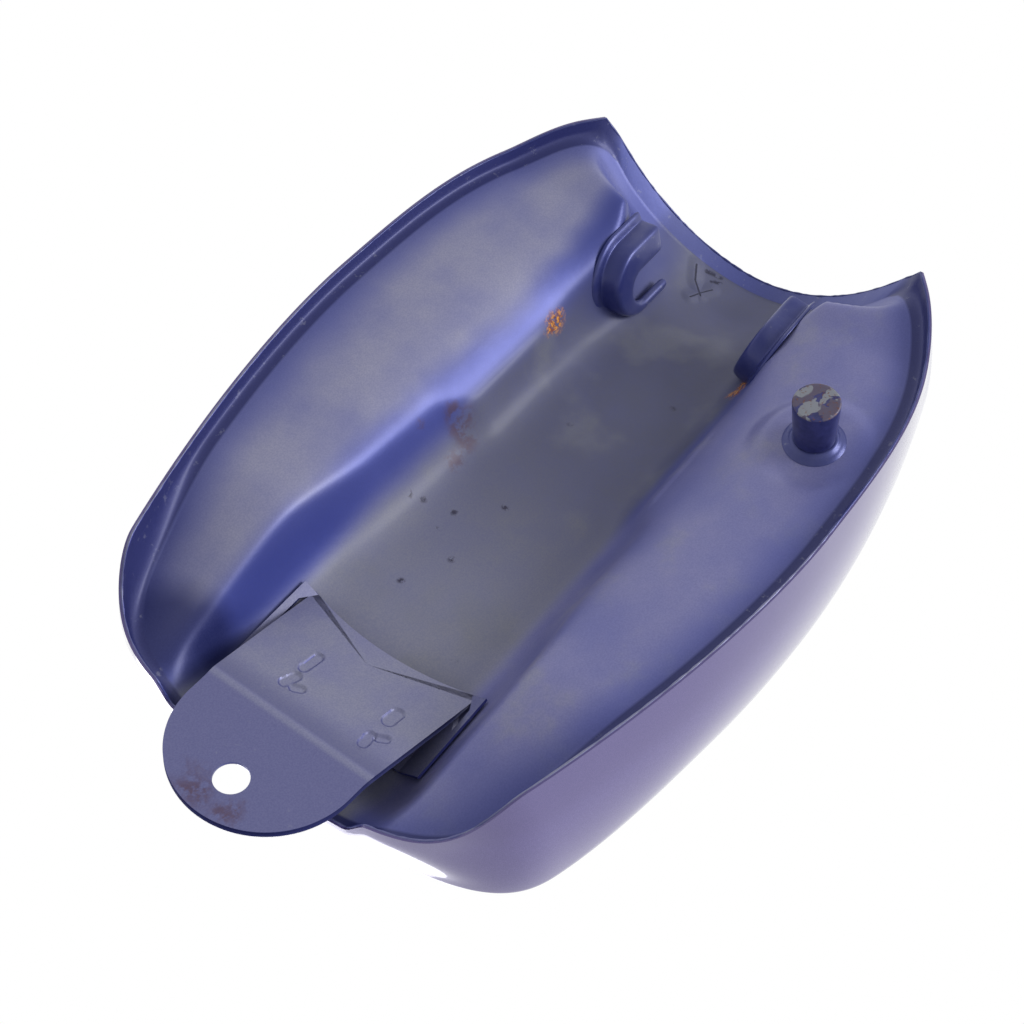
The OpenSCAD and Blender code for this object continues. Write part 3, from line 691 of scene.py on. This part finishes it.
def build_cup(s, name):
    """A pressed cup: foot flange, drawn wall, rounded lip and inner face with its opening."""
    r, reach, hole = CUP["r"], CUP["reach"], CUP["hole"]
    # how far each ring lies outside the cup's radius, or outside its opening, and its height
    wall = [(9.0, -1.2), (8.4, 0.5), (5.0, 0.9), (3.0, 1.4), (2.3, 3.0), (1.9, 6.0),
            (1.6, reach - 2.4), (1.0, reach - 0.9), (0.1, reach - 0.2), (-1.4, reach)]
    mouth = [(1.4, reach), (0.5, reach - 0.4), (0.0, reach - 1.4), (0.0, reach - 3.4)]
    rings = [(cup_outline(r + more), h) for more, h in wall]
    rings.append((mix(cup_outline(r - 1.4), cup_outline(hole + 2, **CUP_HOLE_AT), 0.6), reach))
    rings += [(cup_outline(hole + more, **CUP_HOLE_AT), h) for more, h in mouth]
    pts = np.concatenate([np.column_stack([o, np.full(len(o), h)]) for o, h in rings])
    m = len(rings[0][0])
    ob = new_mesh(name, cup_place(pts, s), grid_faces(len(rings), m))
    sol = ob.modifiers.new("sheet", "SOLIDIFY")
    sol.thickness, sol.offset = 1.3 * MM, -1.0 * s
    sub = ob.modifiers.new("soft", "SUBSURF")
    sub.levels = sub.render_levels = 1
    apply_modifiers(ob)
    fix_normals(ob)
    # nothing reaches more than 0.2 mm past the tunnel wall
    bm = bmesh.new()
    bm.from_mesh(ob.data)
    for v in bm.verts:
        p = np.array(v.co) / MM + HOME
        top = float(under(np.array(p[0]), np.array(p[1]))) + 0.2
        if p[2] > top:
            v.co.z = (top - HOME[2]) * MM
    bm.to_mesh(ob.data)
    bm.free()
    ob.data.shade_smooth()
    ob.data.set_sharp_from_angle(angle=math.radians(45))
    return ob


# ---- welded seam -------------------------------------------------------------------
def sweep(name, path, radius, seed, rough, sides=8):
    """Lumpy bead along a closed path of design points."""
    g = random.Random(seed)
    p = np.asarray(path, float)
    d = unit(np.roll(p, -1, 0) - np.roll(p, 1, 0))
    a = unit(np.cross(d, np.array([0.3, 0.2, 1.0])))
    b = np.cross(d, a)
    lumps = np.array([radius * (1 + rough * (g.random() - 0.5) * 2) for _ in p])[:, None, None]
    t = np.linspace(0, 2 * math.pi, sides, endpoint=False)[None, :, None]
    pts = p[:, None] + lumps * (a[:, None] * np.cos(t) + b[:, None] * np.sin(t))
    faces = grid_faces(len(p), sides, wrap=True) + closing_faces(len(p), sides)
    ob = new_mesh(name, pts.reshape(-1, 3), faces)
    fix_normals(ob)
    return ob


def build_seam():
    k, s = loop_steps()
    p = rim_pt(k) + inward(k) * (SHEET + GAP + 0.25) + stand(k) * 0.55
    p[:, 1] *= s
    return sweep("rim_seam", p[::2], 0.75, seed=3, rough=0.3)


# ---- materials ---------------------------------------------------------------------
def node_tree(name):
    m = bpy.data.materials.new(name)
    m.use_nodes = True
    nt = m.node_tree
    nt.nodes.clear()
    out = nt.nodes.new("ShaderNodeOutputMaterial")
    bs = nt.nodes.new("ShaderNodeBsdfPrincipled")
    nt.links.new(bs.outputs[0], out.inputs[0])
    return m, nt, bs


class Tree:
    """Small helper to write node graphs."""

    def __init__(self, name):
        self.mat, self.nt, self.bsdf = node_tree(name)
        self.coord = self.nt.nodes.new("ShaderNodeTexCoord").outputs["Object"]

    def put(self, socket, value):
        if isinstance(value, bpy.types.NodeSocket):
            self.nt.links.new(value, socket)
        else:
            socket.default_value = value

    def math(self, op, a, b=0.0, c=0.0, clamp=False):
        n = self.nt.nodes.new("ShaderNodeMath")
        n.operation, n.use_clamp = op, clamp
        for s, v in zip(n.inputs, (a, b, c)):
            self.put(s, v)
        return n.outputs[0]

    def noise(self, scale, detail=3.0, rough=0.5, distort=0.0, coord=None):
        n = self.nt.nodes.new("ShaderNodeTexNoise")
        self.put(n.inputs["Vector"], coord or self.coord)
        n.inputs["Scale"].default_value = scale
        n.inputs["Detail"].default_value = detail
        n.inputs["Roughness"].default_value = rough
        n.inputs["Distortion"].default_value = distort
        return n.outputs["Fac"]

    def range(self, v, a, b, c=0.0, d=1.0):
        n = self.nt.nodes.new("ShaderNodeMapRange")
        n.interpolation_type = "SMOOTHSTEP"
        for s, x in zip(n.inputs, (v, a, b, c, d)):
            self.put(s, x)
        return n.outputs[0]

    def blend(self, fac, a, b):
        n = self.nt.nodes.new("ShaderNodeMix")
        n.data_type = "RGBA"
        self.put(n.inputs[0], fac)
        for s, v in zip(n.inputs[6:8], (a, b)):
            self.put(s, v if isinstance(v, bpy.types.NodeSocket) else (*v, 1) if len(v) == 3 else v)
        return n.outputs[2]

    def axis(self, name, src=None):
        n = self.nt.nodes.new("ShaderNodeSeparateXYZ")
        self.put(n.inputs[0], src or self.coord)
        return n.outputs[name]

    def along(self):
        """Design x in metres."""
        return self.math("ADD", self.axis("X"), float(HOME[0]) * MM)

    def across(self):
        return self.axis("Y")

    def height(self):
        """Design z in metres."""
        return self.math("ADD", self.axis("Z"), float(HOME[2]) * MM)

    def marked(self, name):
        n = self.nt.nodes.new("ShaderNodeAttribute")
        n.attribute_name = name
        return n.outputs["Fac"]

    def normal(self):
        return self.nt.nodes.new("ShaderNodeNewGeometry").outputs["Normal"]

    def near(self, p, r, squash=(1, 1, 1), soft=0.5, wobble=0.0, scale=60):
        """Mask that is 1 close to a point of the design (mm) and 0 past radius r."""
        offset = self.vector("SUBTRACT", self.coord, tuple(to_row(p)))
        d = self.vector("LENGTH", self.vector("MULTIPLY", offset, squash), out=1)
        if wobble:
            w = self.math("MULTIPLY_ADD", self.noise(scale, 4), wobble * 2 * MM, -wobble * MM)
            d = self.math("ADD", d, w)
        return self.range(d, r * MM, r * soft * MM)

    def vector(self, op, a, b=None, scale=None, out=0):
        n = self.nt.nodes.new("ShaderNodeVectorMath")
        n.operation = op
        self.put(n.inputs[0], a)
        if b is not None:
            self.put(n.inputs[1], b)
        if scale is not None:
            self.put(n.inputs["Scale"], scale)
        return n.outputs[out]

    def stroke(self, a, b, r, soft=0.3, wobble=0.0):
        """Mask along the line between two design points, blind to small errors in height."""
        flat = np.array([1, 1, 0.2])
        start, way = to_row(a) * flat, (to_row(b) - to_row(a)) * flat
        q = self.vector("SUBTRACT", self.vector("MULTIPLY", self.coord, tuple(flat)), tuple(start))
        h = self.vector("DOT_PRODUCT", q, tuple(way), out=1)
        h = self.math("MULTIPLY", h, 1 / float(way @ way), clamp=True)
        rest = self.vector("SUBTRACT", q, self.vector("SCALE", tuple(way), scale=h))
        d = self.vector("LENGTH", rest, out=1)
        if wobble:
            w = self.math("MULTIPLY_ADD", self.noise(260, 4), wobble * 2 * MM, -wobble * MM)
            d = self.math("ADD", d, w)
        return self.range(d, r * MM, r * soft * MM)

    def beyond(self, origin, way):
        """Distance in metres past a design point, along a direction."""
        q = self.vector("SUBTRACT", self.coord, tuple(to_row(origin)))
        return self.vector("DOT_PRODUCT", q, tuple(way), out=1)

    def bump(self, height, dist, strength=1.0, prev=None):
        n = self.nt.nodes.new("ShaderNodeBump")
        self.put(n.inputs["Height"], height)
        n.inputs["Distance"].default_value = dist
        n.inputs["Strength"].default_value = strength
        if prev is not None:
            self.put(n.inputs["Normal"], prev)
        return n.outputs[0]

    def shade(self, color=None, rough=None, metal=None, normal=None, **fixed):
        b = self.bsdf.inputs
        if color is not None:
            self.put(b["Base Color"], color if isinstance(color, bpy.types.NodeSocket) else (*color, 1))
        if rough is not None:
            self.put(b["Roughness"], rough)
        if metal is not None:
            self.put(b["Metallic"], metal)
        if normal is not None:
            self.put(b["Normal"], normal)
        for k, v in fixed.items():
            b[k.replace("_", " ")].default_value = v
        return self.mat


def paint_shell():
    t = Tree("shell_gloss_paint")
    flake = t.noise(2600, 2)
    col = t.blend(t.range(flake, 0.35, 0.7), (0.105, 0.085, 0.27), (0.16, 0.13, 0.36))
    seam_dark = t.range(t.math("ADD", t.height(), t.math("MULTIPLY", t.noise(30, 3), 0.006)), 0.036, 0.02)
    col = t.blend(t.math("MULTIPLY", seam_dark, 0.35), col, (0.09, 0.07, 0.22))
    peel = t.bump(t.noise(260, 3), 0.00004, 0.5)
    return t.shade(col, 0.32, 0.45, peel, Coat_Weight=1.0, Coat_Roughness=0.04)


# rust and stains on the pan: place, radius, squash of each axis
ORANGE_RUST = [((101.8, -62.3, 45.6), 9, (1.0, 2.2, 1.4)), ((97, -61.5, 47), 6, (1, 2, 2)),
               ((155, 49.7, 64), 6, (1, 1, 1)), ((144, 51, 62.6), 6, (0.8, 1, 1)),
               ((137.5, 49.3, 66), 5, (1, 1, 1))]
BROWN_STAINS = [((7, -63, 51), 13, (1, 1.4, 1.0)), ((4.7, -67, 44), 8, (1, 1, 1)),
                ((5, -57, 61), 10, (1, 1, 1)),
                ((-10, -53.6, 65.6), 8, (1, 1, 1)), ((-19, -72, 37), 5, (1, 1, 1))]
# dark specks on the tunnel roof
SPECKS = [(-48, -58, 62), (-53, -34, 71), (-65, -14, 70), (-95, -27, 68), (-37, -34, 71), (-16, -13, 72),
          (-43, -52, 66), (60, -20, 76), (110, 22, 78), (-120, 30, 66)]

# cracks and drips: from, to, half width
CRACKS = [((228, -35.6, 78), (218, -30, 81), 1.0), ((218, -30, 81), (211, -21, 85), 0.9),
          ((204.5, -25, 83), (213, -22, 84), 0.7), ((213, -22, 84), (221, -18, 85.6), 0.6),
          ((186, 38.6, 76.5), (208, 36.7, 77.8), 0.9), ((208, 36.7, 77.8), (226, 37, 77.6), 0.8)]
DRIPS = [((230, -28, 82), (233.5, -19.6, 85.4), 1.6), ((226, -22, 84), (230, -17, 85), 1.0)]


def union(t, masks):
    out = masks[0]
    for m in masks[1:]:
        out = t.math("MAXIMUM", out, m)
    return out


def paint_pan():
    t = Tree("underside_paint")
    big, mid, fine = t.noise(8, 3, 0.55), t.noise(34, 4, 0.6), t.noise(150, 4, 0.65)
    grain = t.noise(1100, 2)
    x, y, z = t.along(), t.across(), t.height()
    side = t.math("ABSOLUTE", y)
    down = t.math("MULTIPLY", t.axis("Z", t.normal()), -1.0)
    wobble = t.math("MULTIPLY_ADD", big, 0.05, -0.025)
    near = t.range(y, 0.03, 0.05)  # the left side
    out = t.math("MULTIPLY_ADD", near, 0.012, side)  # the left crest lies nearer the middle
    in_tunnel = t.math("MULTIPLY", t.range(out, 0.070, 0.058), t.range(z, 0.02, 0.045))
    far_lobe = t.range(t.math("ADD", side, t.math("MULTIPLY", wobble, 0.4)), 0.072, 0.092)
    near_lobe = t.math("MULTIPLY", near, t.range(t.math("MULTIPLY_ADD", down, 0.02, side), 0.062, 0.070))
    # painted light and shade: the lobes' lighter grey goes only on faces turned down, toward the lamps, and
    # the deep blue stays on their steep faces; the grey's mottle is dust
    in_lobe = t.math("MAXIMUM", t.math("MULTIPLY", far_lobe, t.range(down, 0.3, 0.8)), near_lobe)
    blue, dusty_lit_grey = (0.08, 0.10, 0.39), (0.33, 0.33, 0.46)
    dust_and_lit_grey = t.blend(near, dusty_lit_grey, (0.25, 0.25, 0.47))
    dust_and_lit_grey = t.blend(t.math("MULTIPLY", near, t.range(mid, 0.5, 0.8, 0.0, 0.6)), dust_and_lit_grey, (0.32, 0.325, 0.38))
    dusted = t.math("MULTIPLY", t.range(mid, 0.15, 0.75, 0.7, 1.0),
                    t.range(t.noise(16, 2), 0.34, 0.62, 0.68, 1.0))
    dusted = t.math("MULTIPLY", dusted, t.math("MULTIPLY_ADD", t.marked("inset"), 0.7, 0.3))
    lobe_col = t.blend(t.math("MULTIPLY", in_lobe, dusted), blue, dust_and_lit_grey)
    # the tunnel is greyer, darkest toward the front
    grey = t.blend(t.range(t.math("ADD", x, wobble), -0.14, 0.08), (0.27, 0.275, 0.35), (0.10, 0.105, 0.165))
    grey = t.blend(t.math("MULTIPLY", t.range(t.noise(20, 3), 0.5, 0.7), 0.4), grey, (0.24, 0.245, 0.23))
    tunnel = t.math("MULTIPLY", in_tunnel, t.range(mid, 0.1, 0.9, 0.8, 1.0))
    col = t.blend(tunnel, lobe_col, grey)
    # painted shade: darker navy in the right lobe's rear pocket, on the right wall's rear and at the right
    # front
    pocket_shade = t.math("MAXIMUM", t.near((-213, -90, 30), 36, (1, 0.9, 0.4), 0.4, 6, 25),
                    t.near((-200, -74, 42), 26, (1, 1, 0.4), 0.3, 6, 25))
    flank_shade = t.near((-150, -74, 44), 60, (0.6, 2.6, 2.4), 0.3, 6, 30)
    col = t.blend(t.math("MULTIPLY", flank_shade, 0.7), col, (0.04, 0.06, 0.34))
    col = t.blend(t.math("MULTIPLY", pocket_shade, 0.85), col, (0.012, 0.018, 0.13))
    # painted shade: darker navy over the right front crest
    front = t.near((186, -64, 56), 78, (1.0, 2.2, 1.0), 0.4, 8, 30)
    col = t.blend(t.math("MULTIPLY", front, 0.8), col, (0.03, 0.042, 0.23))
    # turned flange and arch band: painted shade in dark navy on the turned flange, painted light in lighter
    # blue on the arch band
    edge, arch = t.marked("turned"), t.marked("fore")
    col = t.blend(t.math("MULTIPLY", edge, 0.9), col, t.blend(arch, (0.025, 0.03, 0.15), (0.09, 0.11, 0.38)))
    # painted glints: light dashes along the turned flange
    glint_dashes = t.math("MULTIPLY", edge, t.range(t.noise(130, 5, 0.7), 0.6, 0.7))
    col = t.blend(t.math("MULTIPLY", glint_dashes, 0.35), col, (0.36, 0.37, 0.48))
    for p, r, sq in BROWN_STAINS:
        m = t.math("MULTIPLY", t.near(p, r * 1.15, sq, 0.2, r * 0.6, 120), t.range(fine, 0.40, 0.58))
        col = t.blend(t.math("MULTIPLY", m, 0.75), col, (0.115, 0.065, 0.10))
    specks = union(t, [t.near(p, 3.2, (1, 1, 0.3), 0.3, 2.6, 300) for p in SPECKS])
    col = t.blend(t.math("MULTIPLY", specks, t.range(fine, 0.45, 0.55)), col, (0.03, 0.025, 0.05))
    rust = union(t, [t.near(p, r * 1.3, (*sq[:2], sq[2] * 0.5), 0.2, r * 0.7, 260)
                     for p, r, sq in ORANGE_RUST])
    rust = t.math("MULTIPLY", rust, t.range(t.noise(420, 5, 0.7), 0.42, 0.50))
    rust_col = t.blend(t.range(t.noise(500, 3), 0.4, 0.6), (0.95, 0.40, 0.02), (0.30, 0.08, 0.03))
    col = t.blend(rust, col, rust_col)
    crack = union(t, [t.stroke(a, b, r, 0.25, 0.3) for a, b, r in CRACKS])
    dent = union(t, [t.stroke(a, b, 7, 0.0) for a, b, _ in CRACKS])
    drips = t.math("MULTIPLY", union(t, [t.stroke(a, b, r * 1.6, 0.2, 1.4) for a, b, r in DRIPS]),
                   t.range(fine, 0.44, 0.5))
    col = t.blend(t.math("MAXIMUM", crack, drips), col, (0.012, 0.012, 0.03))
    col = t.blend(t.range(grain, 0.3, 0.7, 0.0, 0.2), col, (0.06, 0.07, 0.25))
    matte = t.math("MAXIMUM", t.math("MULTIPLY", in_lobe, 0.5), in_tunnel)
    rough = t.math("MULTIPLY_ADD", matte, 0.16, t.math("MULTIPLY_ADD", mid, 0.14, 0.36))
    rough = t.math("MULTIPLY_ADD", rust, 0.3, rough)
    metal = t.math("MULTIPLY_ADD", t.math("MAXIMUM", rust, in_tunnel), -0.24, 0.3, clamp=True)
    bump = t.bump(grain, 0.00004, 0.4)
    bump = t.bump(mid, 0.0009, 0.4, bump)
    bump = t.bump(t.math("MULTIPLY", rust, fine), 0.0004, 0.8, bump)
    bump = t.bump(t.math("MULTIPLY_ADD", dent, 2.0, t.math("MULTIPLY", crack, -0.6)), 0.0012, 0.6, bump)
    return t.shade(col, rough, metal, bump, Coat_Weight=0.2, Coat_Roughness=0.25)


def paint_bracket():
    """Paint of the tongue, cups and collar: bluer at the edges and darker on the cups as painted shade, a
    painted highlight along the fold, a worn stain round the bolt hole.
    """
    t = Tree("bracket_paint_look")
    mid, fine, grain = t.noise(45, 4, 0.6), t.noise(170, 4, 0.65), t.noise(1100, 2)
    x, z = t.along(), t.height()
    down = t.math("MULTIPLY", t.axis("Z", t.normal()), -1.0)
    # painted light and shade: faces turned down get the lighter grey, faces turned away the deep blue
    flat = t.range(down, 0.6, 0.93)
    blue, dusty_lit_grey = (0.05, 0.06, 0.27), (0.17, 0.175, 0.37)
    col = t.blend(flat, blue, dusty_lit_grey)
    front = t.range(x, -0.225, -0.19)
    col = t.blend(t.math("MULTIPLY", front, t.math("MULTIPLY", flat, t.range(mid, 0.25, 0.7, 0.4, 0.9))), col,
                  (0.27, 0.275, 0.38))
    # painted shade: the cups are a darker blue
    cups = t.range(x, 0.0, 0.05)
    col = t.blend(cups, col, t.blend(t.range(mid, 0.35, 0.7), (0.035, 0.045, 0.21), (0.07, 0.08, 0.24)))
    scuff = t.math("MULTIPLY", t.range(fine, 0.6, 0.78), t.range(mid, 0.45, 0.6, 0.0, 0.5))
    col = t.blend(scuff, col, (0.36, 0.37, 0.44))
    past_fold = t.math("SUBTRACT", x, CREASE_X * MM)
    # painted highlight: a lighter line along the fold
    fold_highlight = t.range(t.math("ABSOLUTE", t.math("ADD", past_fold, 0.001)), 0.0035, 0.0005)
    col = t.blend(t.math("MULTIPLY", fold_highlight, 0.45), col, (0.33, 0.34, 0.46))
    shaded = t.math("MULTIPLY", t.range(past_fold, 0.0005, 0.003), t.range(past_fold, 0.020, 0.004))
    col = t.blend(t.math("MULTIPLY", shaded, t.range(x, -0.1, -0.12, 0.0, 0.55)), col, (0.10, 0.105, 0.22))
    # painted shade: the tongue's rolled rim is darker blue
    col = t.blend(t.math("MULTIPLY", t.marked("turned"), 0.75), col, (0.03, 0.04, 0.22))
    stain = t.near((-273, -10, 20), 17, (1, 0.9, 1), 0.15, 12, 90)
    stain = t.math("MAXIMUM", stain, t.near((-274, 11, 19), 14, (1, 1, 1), 0.2, 10, 110))
    stain = t.math("MULTIPLY", stain, t.range(fine, 0.36, 0.58))
    col = t.blend(t.math("MULTIPLY", stain, 0.75), col, (0.11, 0.05, 0.075))
    col = t.blend(t.range(grain, 0.3, 0.7, 0.0, 0.25), col, (0.05, 0.06, 0.22))
    rough = t.math("MULTIPLY_ADD", mid, 0.16, 0.3)
    bump = t.bump(mid, 0.0003, 0.3, t.bump(grain, 0.00004, 0.4))
    return t.shade(col, rough, 0.42, bump, Coat_Weight=0.3, Coat_Roughness=0.2)


def paint_outlet_cap():
    """Blue paint, peeled and rusted on the flat end."""
    t = Tree("outlet_cap_look")
    mid, fine = t.noise(130, 4, 0.65), t.noise(420, 5, 0.7)
    end = t.range(t.beyond(OUTLET, [-c for c in OUTLET_UP]),
                  (OUTLET_REACH - 1.6) * MM, (OUTLET_REACH - 0.7) * MM)
    col = t.blend(t.range(mid, 0.3, 0.7), (0.022, 0.026, 0.12), (0.045, 0.05, 0.19))
    bare = t.math("MULTIPLY", end, t.range(t.noise(95, 3, 0.6), 0.47, 0.52))
    col = t.blend(bare, col, t.blend(fine, (0.12, 0.105, 0.17), (0.08, 0.06, 0.11)))
    grey = t.math("MULTIPLY", end, t.range(t.noise(110, 2, 0.5, 0.4), 0.52, 0.55))
    col = t.blend(grey, col, (0.24, 0.255, 0.30))
    rust = t.math("MULTIPLY", end, t.range(fine, 0.56, 0.64))
    col = t.blend(t.math("MULTIPLY", rust, 0.8), col, (0.16, 0.06, 0.035))
    rough = t.math("MULTIPLY_ADD", bare, 0.25, 0.3)
    bump = t.bump(bare, 0.00012, 0.8, t.bump(fine, 0.0001, 0.4))
    return t.shade(col, rough, 0.3, bump, Coat_Weight=0.3, Coat_Roughness=0.2)


def plain(name, color, rough, metal, scale=200, amount=0.25):
    t = Tree(name)
    n = t.noise(scale, 4)
    dark = tuple(c * 0.7 for c in color)
    col = t.blend(t.range(n, 0.3, 0.75, 0.0, amount * 2), color, dark)
    r = t.math("MULTIPLY_ADD", n, 0.2, rough - 0.1)
    return t.shade(col, r, metal, t.bump(n, 0.00003, 0.4))


MATS = {
    "shell": paint_shell(),
    "pan": paint_pan(),
    "bracket_paint": paint_bracket(),
    "outlet_cap_paint": paint_outlet_cap(),
    "tube_steel": plain("tube_steel_look", (0.45, 0.44, 0.42), 0.4, 1.0),
    "plate_steel": plain("plate_steel_look", (0.6, 0.58, 0.52), 0.35, 1.0),
    "screw_steel": plain("screw_steel_look", (0.5, 0.5, 0.49), 0.3, 1.0),
    "lock_steel": plain("lock_steel_look", (0.55, 0.54, 0.52), 0.3, 1.0),
    "seal_rubber": plain("seal_rubber_look", (0.02, 0.02, 0.02), 0.75, 0.0, 400),
    "cap_alloy": plain("cap_alloy_look", (0.68, 0.68, 0.69), 0.28, 1.0, 500, 0.1),
    "lid_chrome": plain("lid_chrome_look", (0.8, 0.8, 0.81), 0.12, 1.0, 90, 0.06),
}


def dress(ob, mat):
    ob.data.materials.clear()
    ob.data.materials.append(mat)


# ---- pieces ------------------------------------------------------------------------
shell = build_shell()
dress(shell, MATS["shell"])
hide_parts("outer_shell")
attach(shell, "tank")

pan = build_pan()
dress(pan, MATS["pan"])
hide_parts("underside_pan")
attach(pan, "tank")

tongue = build_tongue()
dress(tongue, MATS["bracket_paint"])
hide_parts("rear_tongue")
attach(tongue, "tank")

for side, word in ((1, "left"), (-1, "right")):
    cup = build_cup(side, f"front_cup_{word}_skin")
    dress(cup, MATS["bracket_paint"])
    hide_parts(f"front_cup_{word}")
    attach(cup, "tank")

outlet_cap = build_outlet_cap()
dress(outlet_cap, MATS["outlet_cap_paint"])
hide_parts("outlet_cap")
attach(outlet_cap, "outlet_cap")

collar = build_collar()
dress(collar, MATS["bracket_paint"])
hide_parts("outlet_collar")
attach(collar, "tank")

seam = build_seam()
dress(seam, MATS["bracket_paint"])
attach(seam, "tank")

SLOT_OF = {s["node"]: s["material_slot"] for s in frame["record"]["subparts"]}
for ob in list(bpy.context.scene.objects):
    if ob.type == "MESH" and ob.name in SLOT_OF and SLOT_OF[ob.name] in MATS:
        for i in range(len(ob.material_slots)):
            ob.material_slots[i].material = MATS[SLOT_OF[ob.name]]

# small machined edges on the filler's parts
for name in ("cap_base", "cap_lid", "filler_neck", "keyhole_cover", "cap_screws", "roof_doubler"):
    bevel = bpy.data.objects[name].modifiers.new("edge", "BEVEL")
    bevel.width, bevel.segments = 0.25 * MM, 2
    bevel.limit_method, bevel.angle_limit = "ANGLE", math.radians(40)

# ---- camera, light and floor -------------------------------------------------------
CAM_POS = np.array([-509.24, 331.78, -712.00])
RIGHT = Vector((0.59249, 0.80522, -0.02421)).normalized()
AHEAD = Vector((0.50015, -0.34413, 0.79462)).normalized()
up = RIGHT.cross(AHEAD).normalized()
cam_data = bpy.data.cameras.new("camera")
cam_data.sensor_width, cam_data.lens = 36.0, 59.77
cam_data.clip_start, cam_data.clip_end = 0.01, 20
cam = bpy.data.objects.new("camera", cam_data)
rot = Matrix((RIGHT, up, -AHEAD)).transposed()
cam.matrix_world = Matrix.Translation(Vector(to_row(CAM_POS))) @ rot.to_4x4()
bpy.context.scene.collection.objects.link(cam)
bpy.context.scene.camera = cam


def area_light(name, pos, target, size, power, color=(1, 1, 1)):
    d = bpy.data.lights.new(name, "AREA")
    d.shape, d.size, d.energy, d.color = "DISK", size, power, color
    ob = bpy.data.objects.new(name, d)
    ob.location = pos
    ob.rotation_euler = (Vector(target) - Vector(pos)).to_track_quat("-Z", "Y").to_euler()
    bpy.context.scene.collection.objects.link(ob)
    ob.visible_camera = False
    return ob


CENTRE = Vector(to_row((0, 0, 70)))
KEY = Vector((0.5, 0.72, -0.48))
area_light("key_soft", CENTRE + KEY * 1.5, CENTRE, 0.7, 10)
area_light("top_soft", CENTRE + Vector((-0.4, -0.6, 1.6)), CENTRE, 1.2, 8)

world = bpy.data.worlds.new("studio")
bpy.context.scene.world = world
world.use_nodes = True
wn = world.node_tree
bg = wn.nodes["Background"]
bg.inputs[0].default_value = (1, 1, 1, 1)
direction = wn.nodes.new("ShaderNodeTexCoord").outputs["Generated"]
split = wn.nodes.new("ShaderNodeSeparateXYZ")
wn.links.new(direction, split.inputs[0])


def world_range(v, a, b, c, d):
    n = wn.nodes.new("ShaderNodeMapRange")
    n.interpolation_type = "SMOOTHSTEP"
    wn.links.new(v, n.inputs[0])
    for s, x in zip(n.inputs[1:5], (a, b, c, d)):
        s.default_value = x
    return n.outputs[0]


def world_math(op, a, b):
    n = wn.nodes.new("ShaderNodeMath")
    n.operation = op
    for s, v in zip(n.inputs, (a, b)):
        if isinstance(v, bpy.types.NodeSocket):
            wn.links.new(v, s)
        else:
            s.default_value = v
    return n.outputs[0]


# the studio's light is weaker straight below and behind the tank
BELOW, BEHIND = 0.45, 0.6
level = world_math("MULTIPLY", world_range(split.outputs[2], -1.0, -0.2, BELOW, 1.0),
                   world_range(split.outputs[0], -1.0, 0.1, BEHIND, 1.0))
seen = wn.nodes.new("ShaderNodeLightPath").outputs["Is Camera Ray"]
wn.links.new(world_math("MAXIMUM", level, seen), bg.inputs[1])

low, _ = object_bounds()
FLOOR_HALF = 6.0
floor_me = bpy.data.meshes.new("floor")
floor_z = low[2] - 0.0005
corners = [(x * FLOOR_HALF, y * FLOOR_HALF, floor_z) for x, y in ((-1, -1), (1, -1), (1, 1), (-1, 1))]
floor_me.from_pydata(corners, [], [(0, 1, 2, 3)])
floor = bpy.data.objects.new("floor", floor_me)
bpy.context.scene.collection.objects.link(floor)
fm = bpy.data.materials.new("floor_look")
fm.use_nodes = True
nt = fm.node_tree
bsdf = nt.nodes["Principled BSDF"]
bsdf.inputs["Base Color"].default_value = (0.82, 0.82, 0.82, 1)
bsdf.inputs["Roughness"].default_value = 0.9
clear = nt.nodes.new("ShaderNodeBsdfTransparent")
pick = nt.nodes.new("ShaderNodeMixShader")
nt.links.new(nt.nodes.new("ShaderNodeNewGeometry").outputs["Backfacing"], pick.inputs[0])
nt.links.new(bsdf.outputs[0], pick.inputs[1])
nt.links.new(clear.outputs[0], pick.inputs[2])
nt.links.new(pick.outputs[0], nt.nodes["Material Output"].inputs[0])
floor_me.materials.append(fm)
floor.visible_shadow = floor.visible_glossy = floor.visible_diffuse = False

scene = bpy.context.scene
scene.view_settings.view_transform = "Standard"
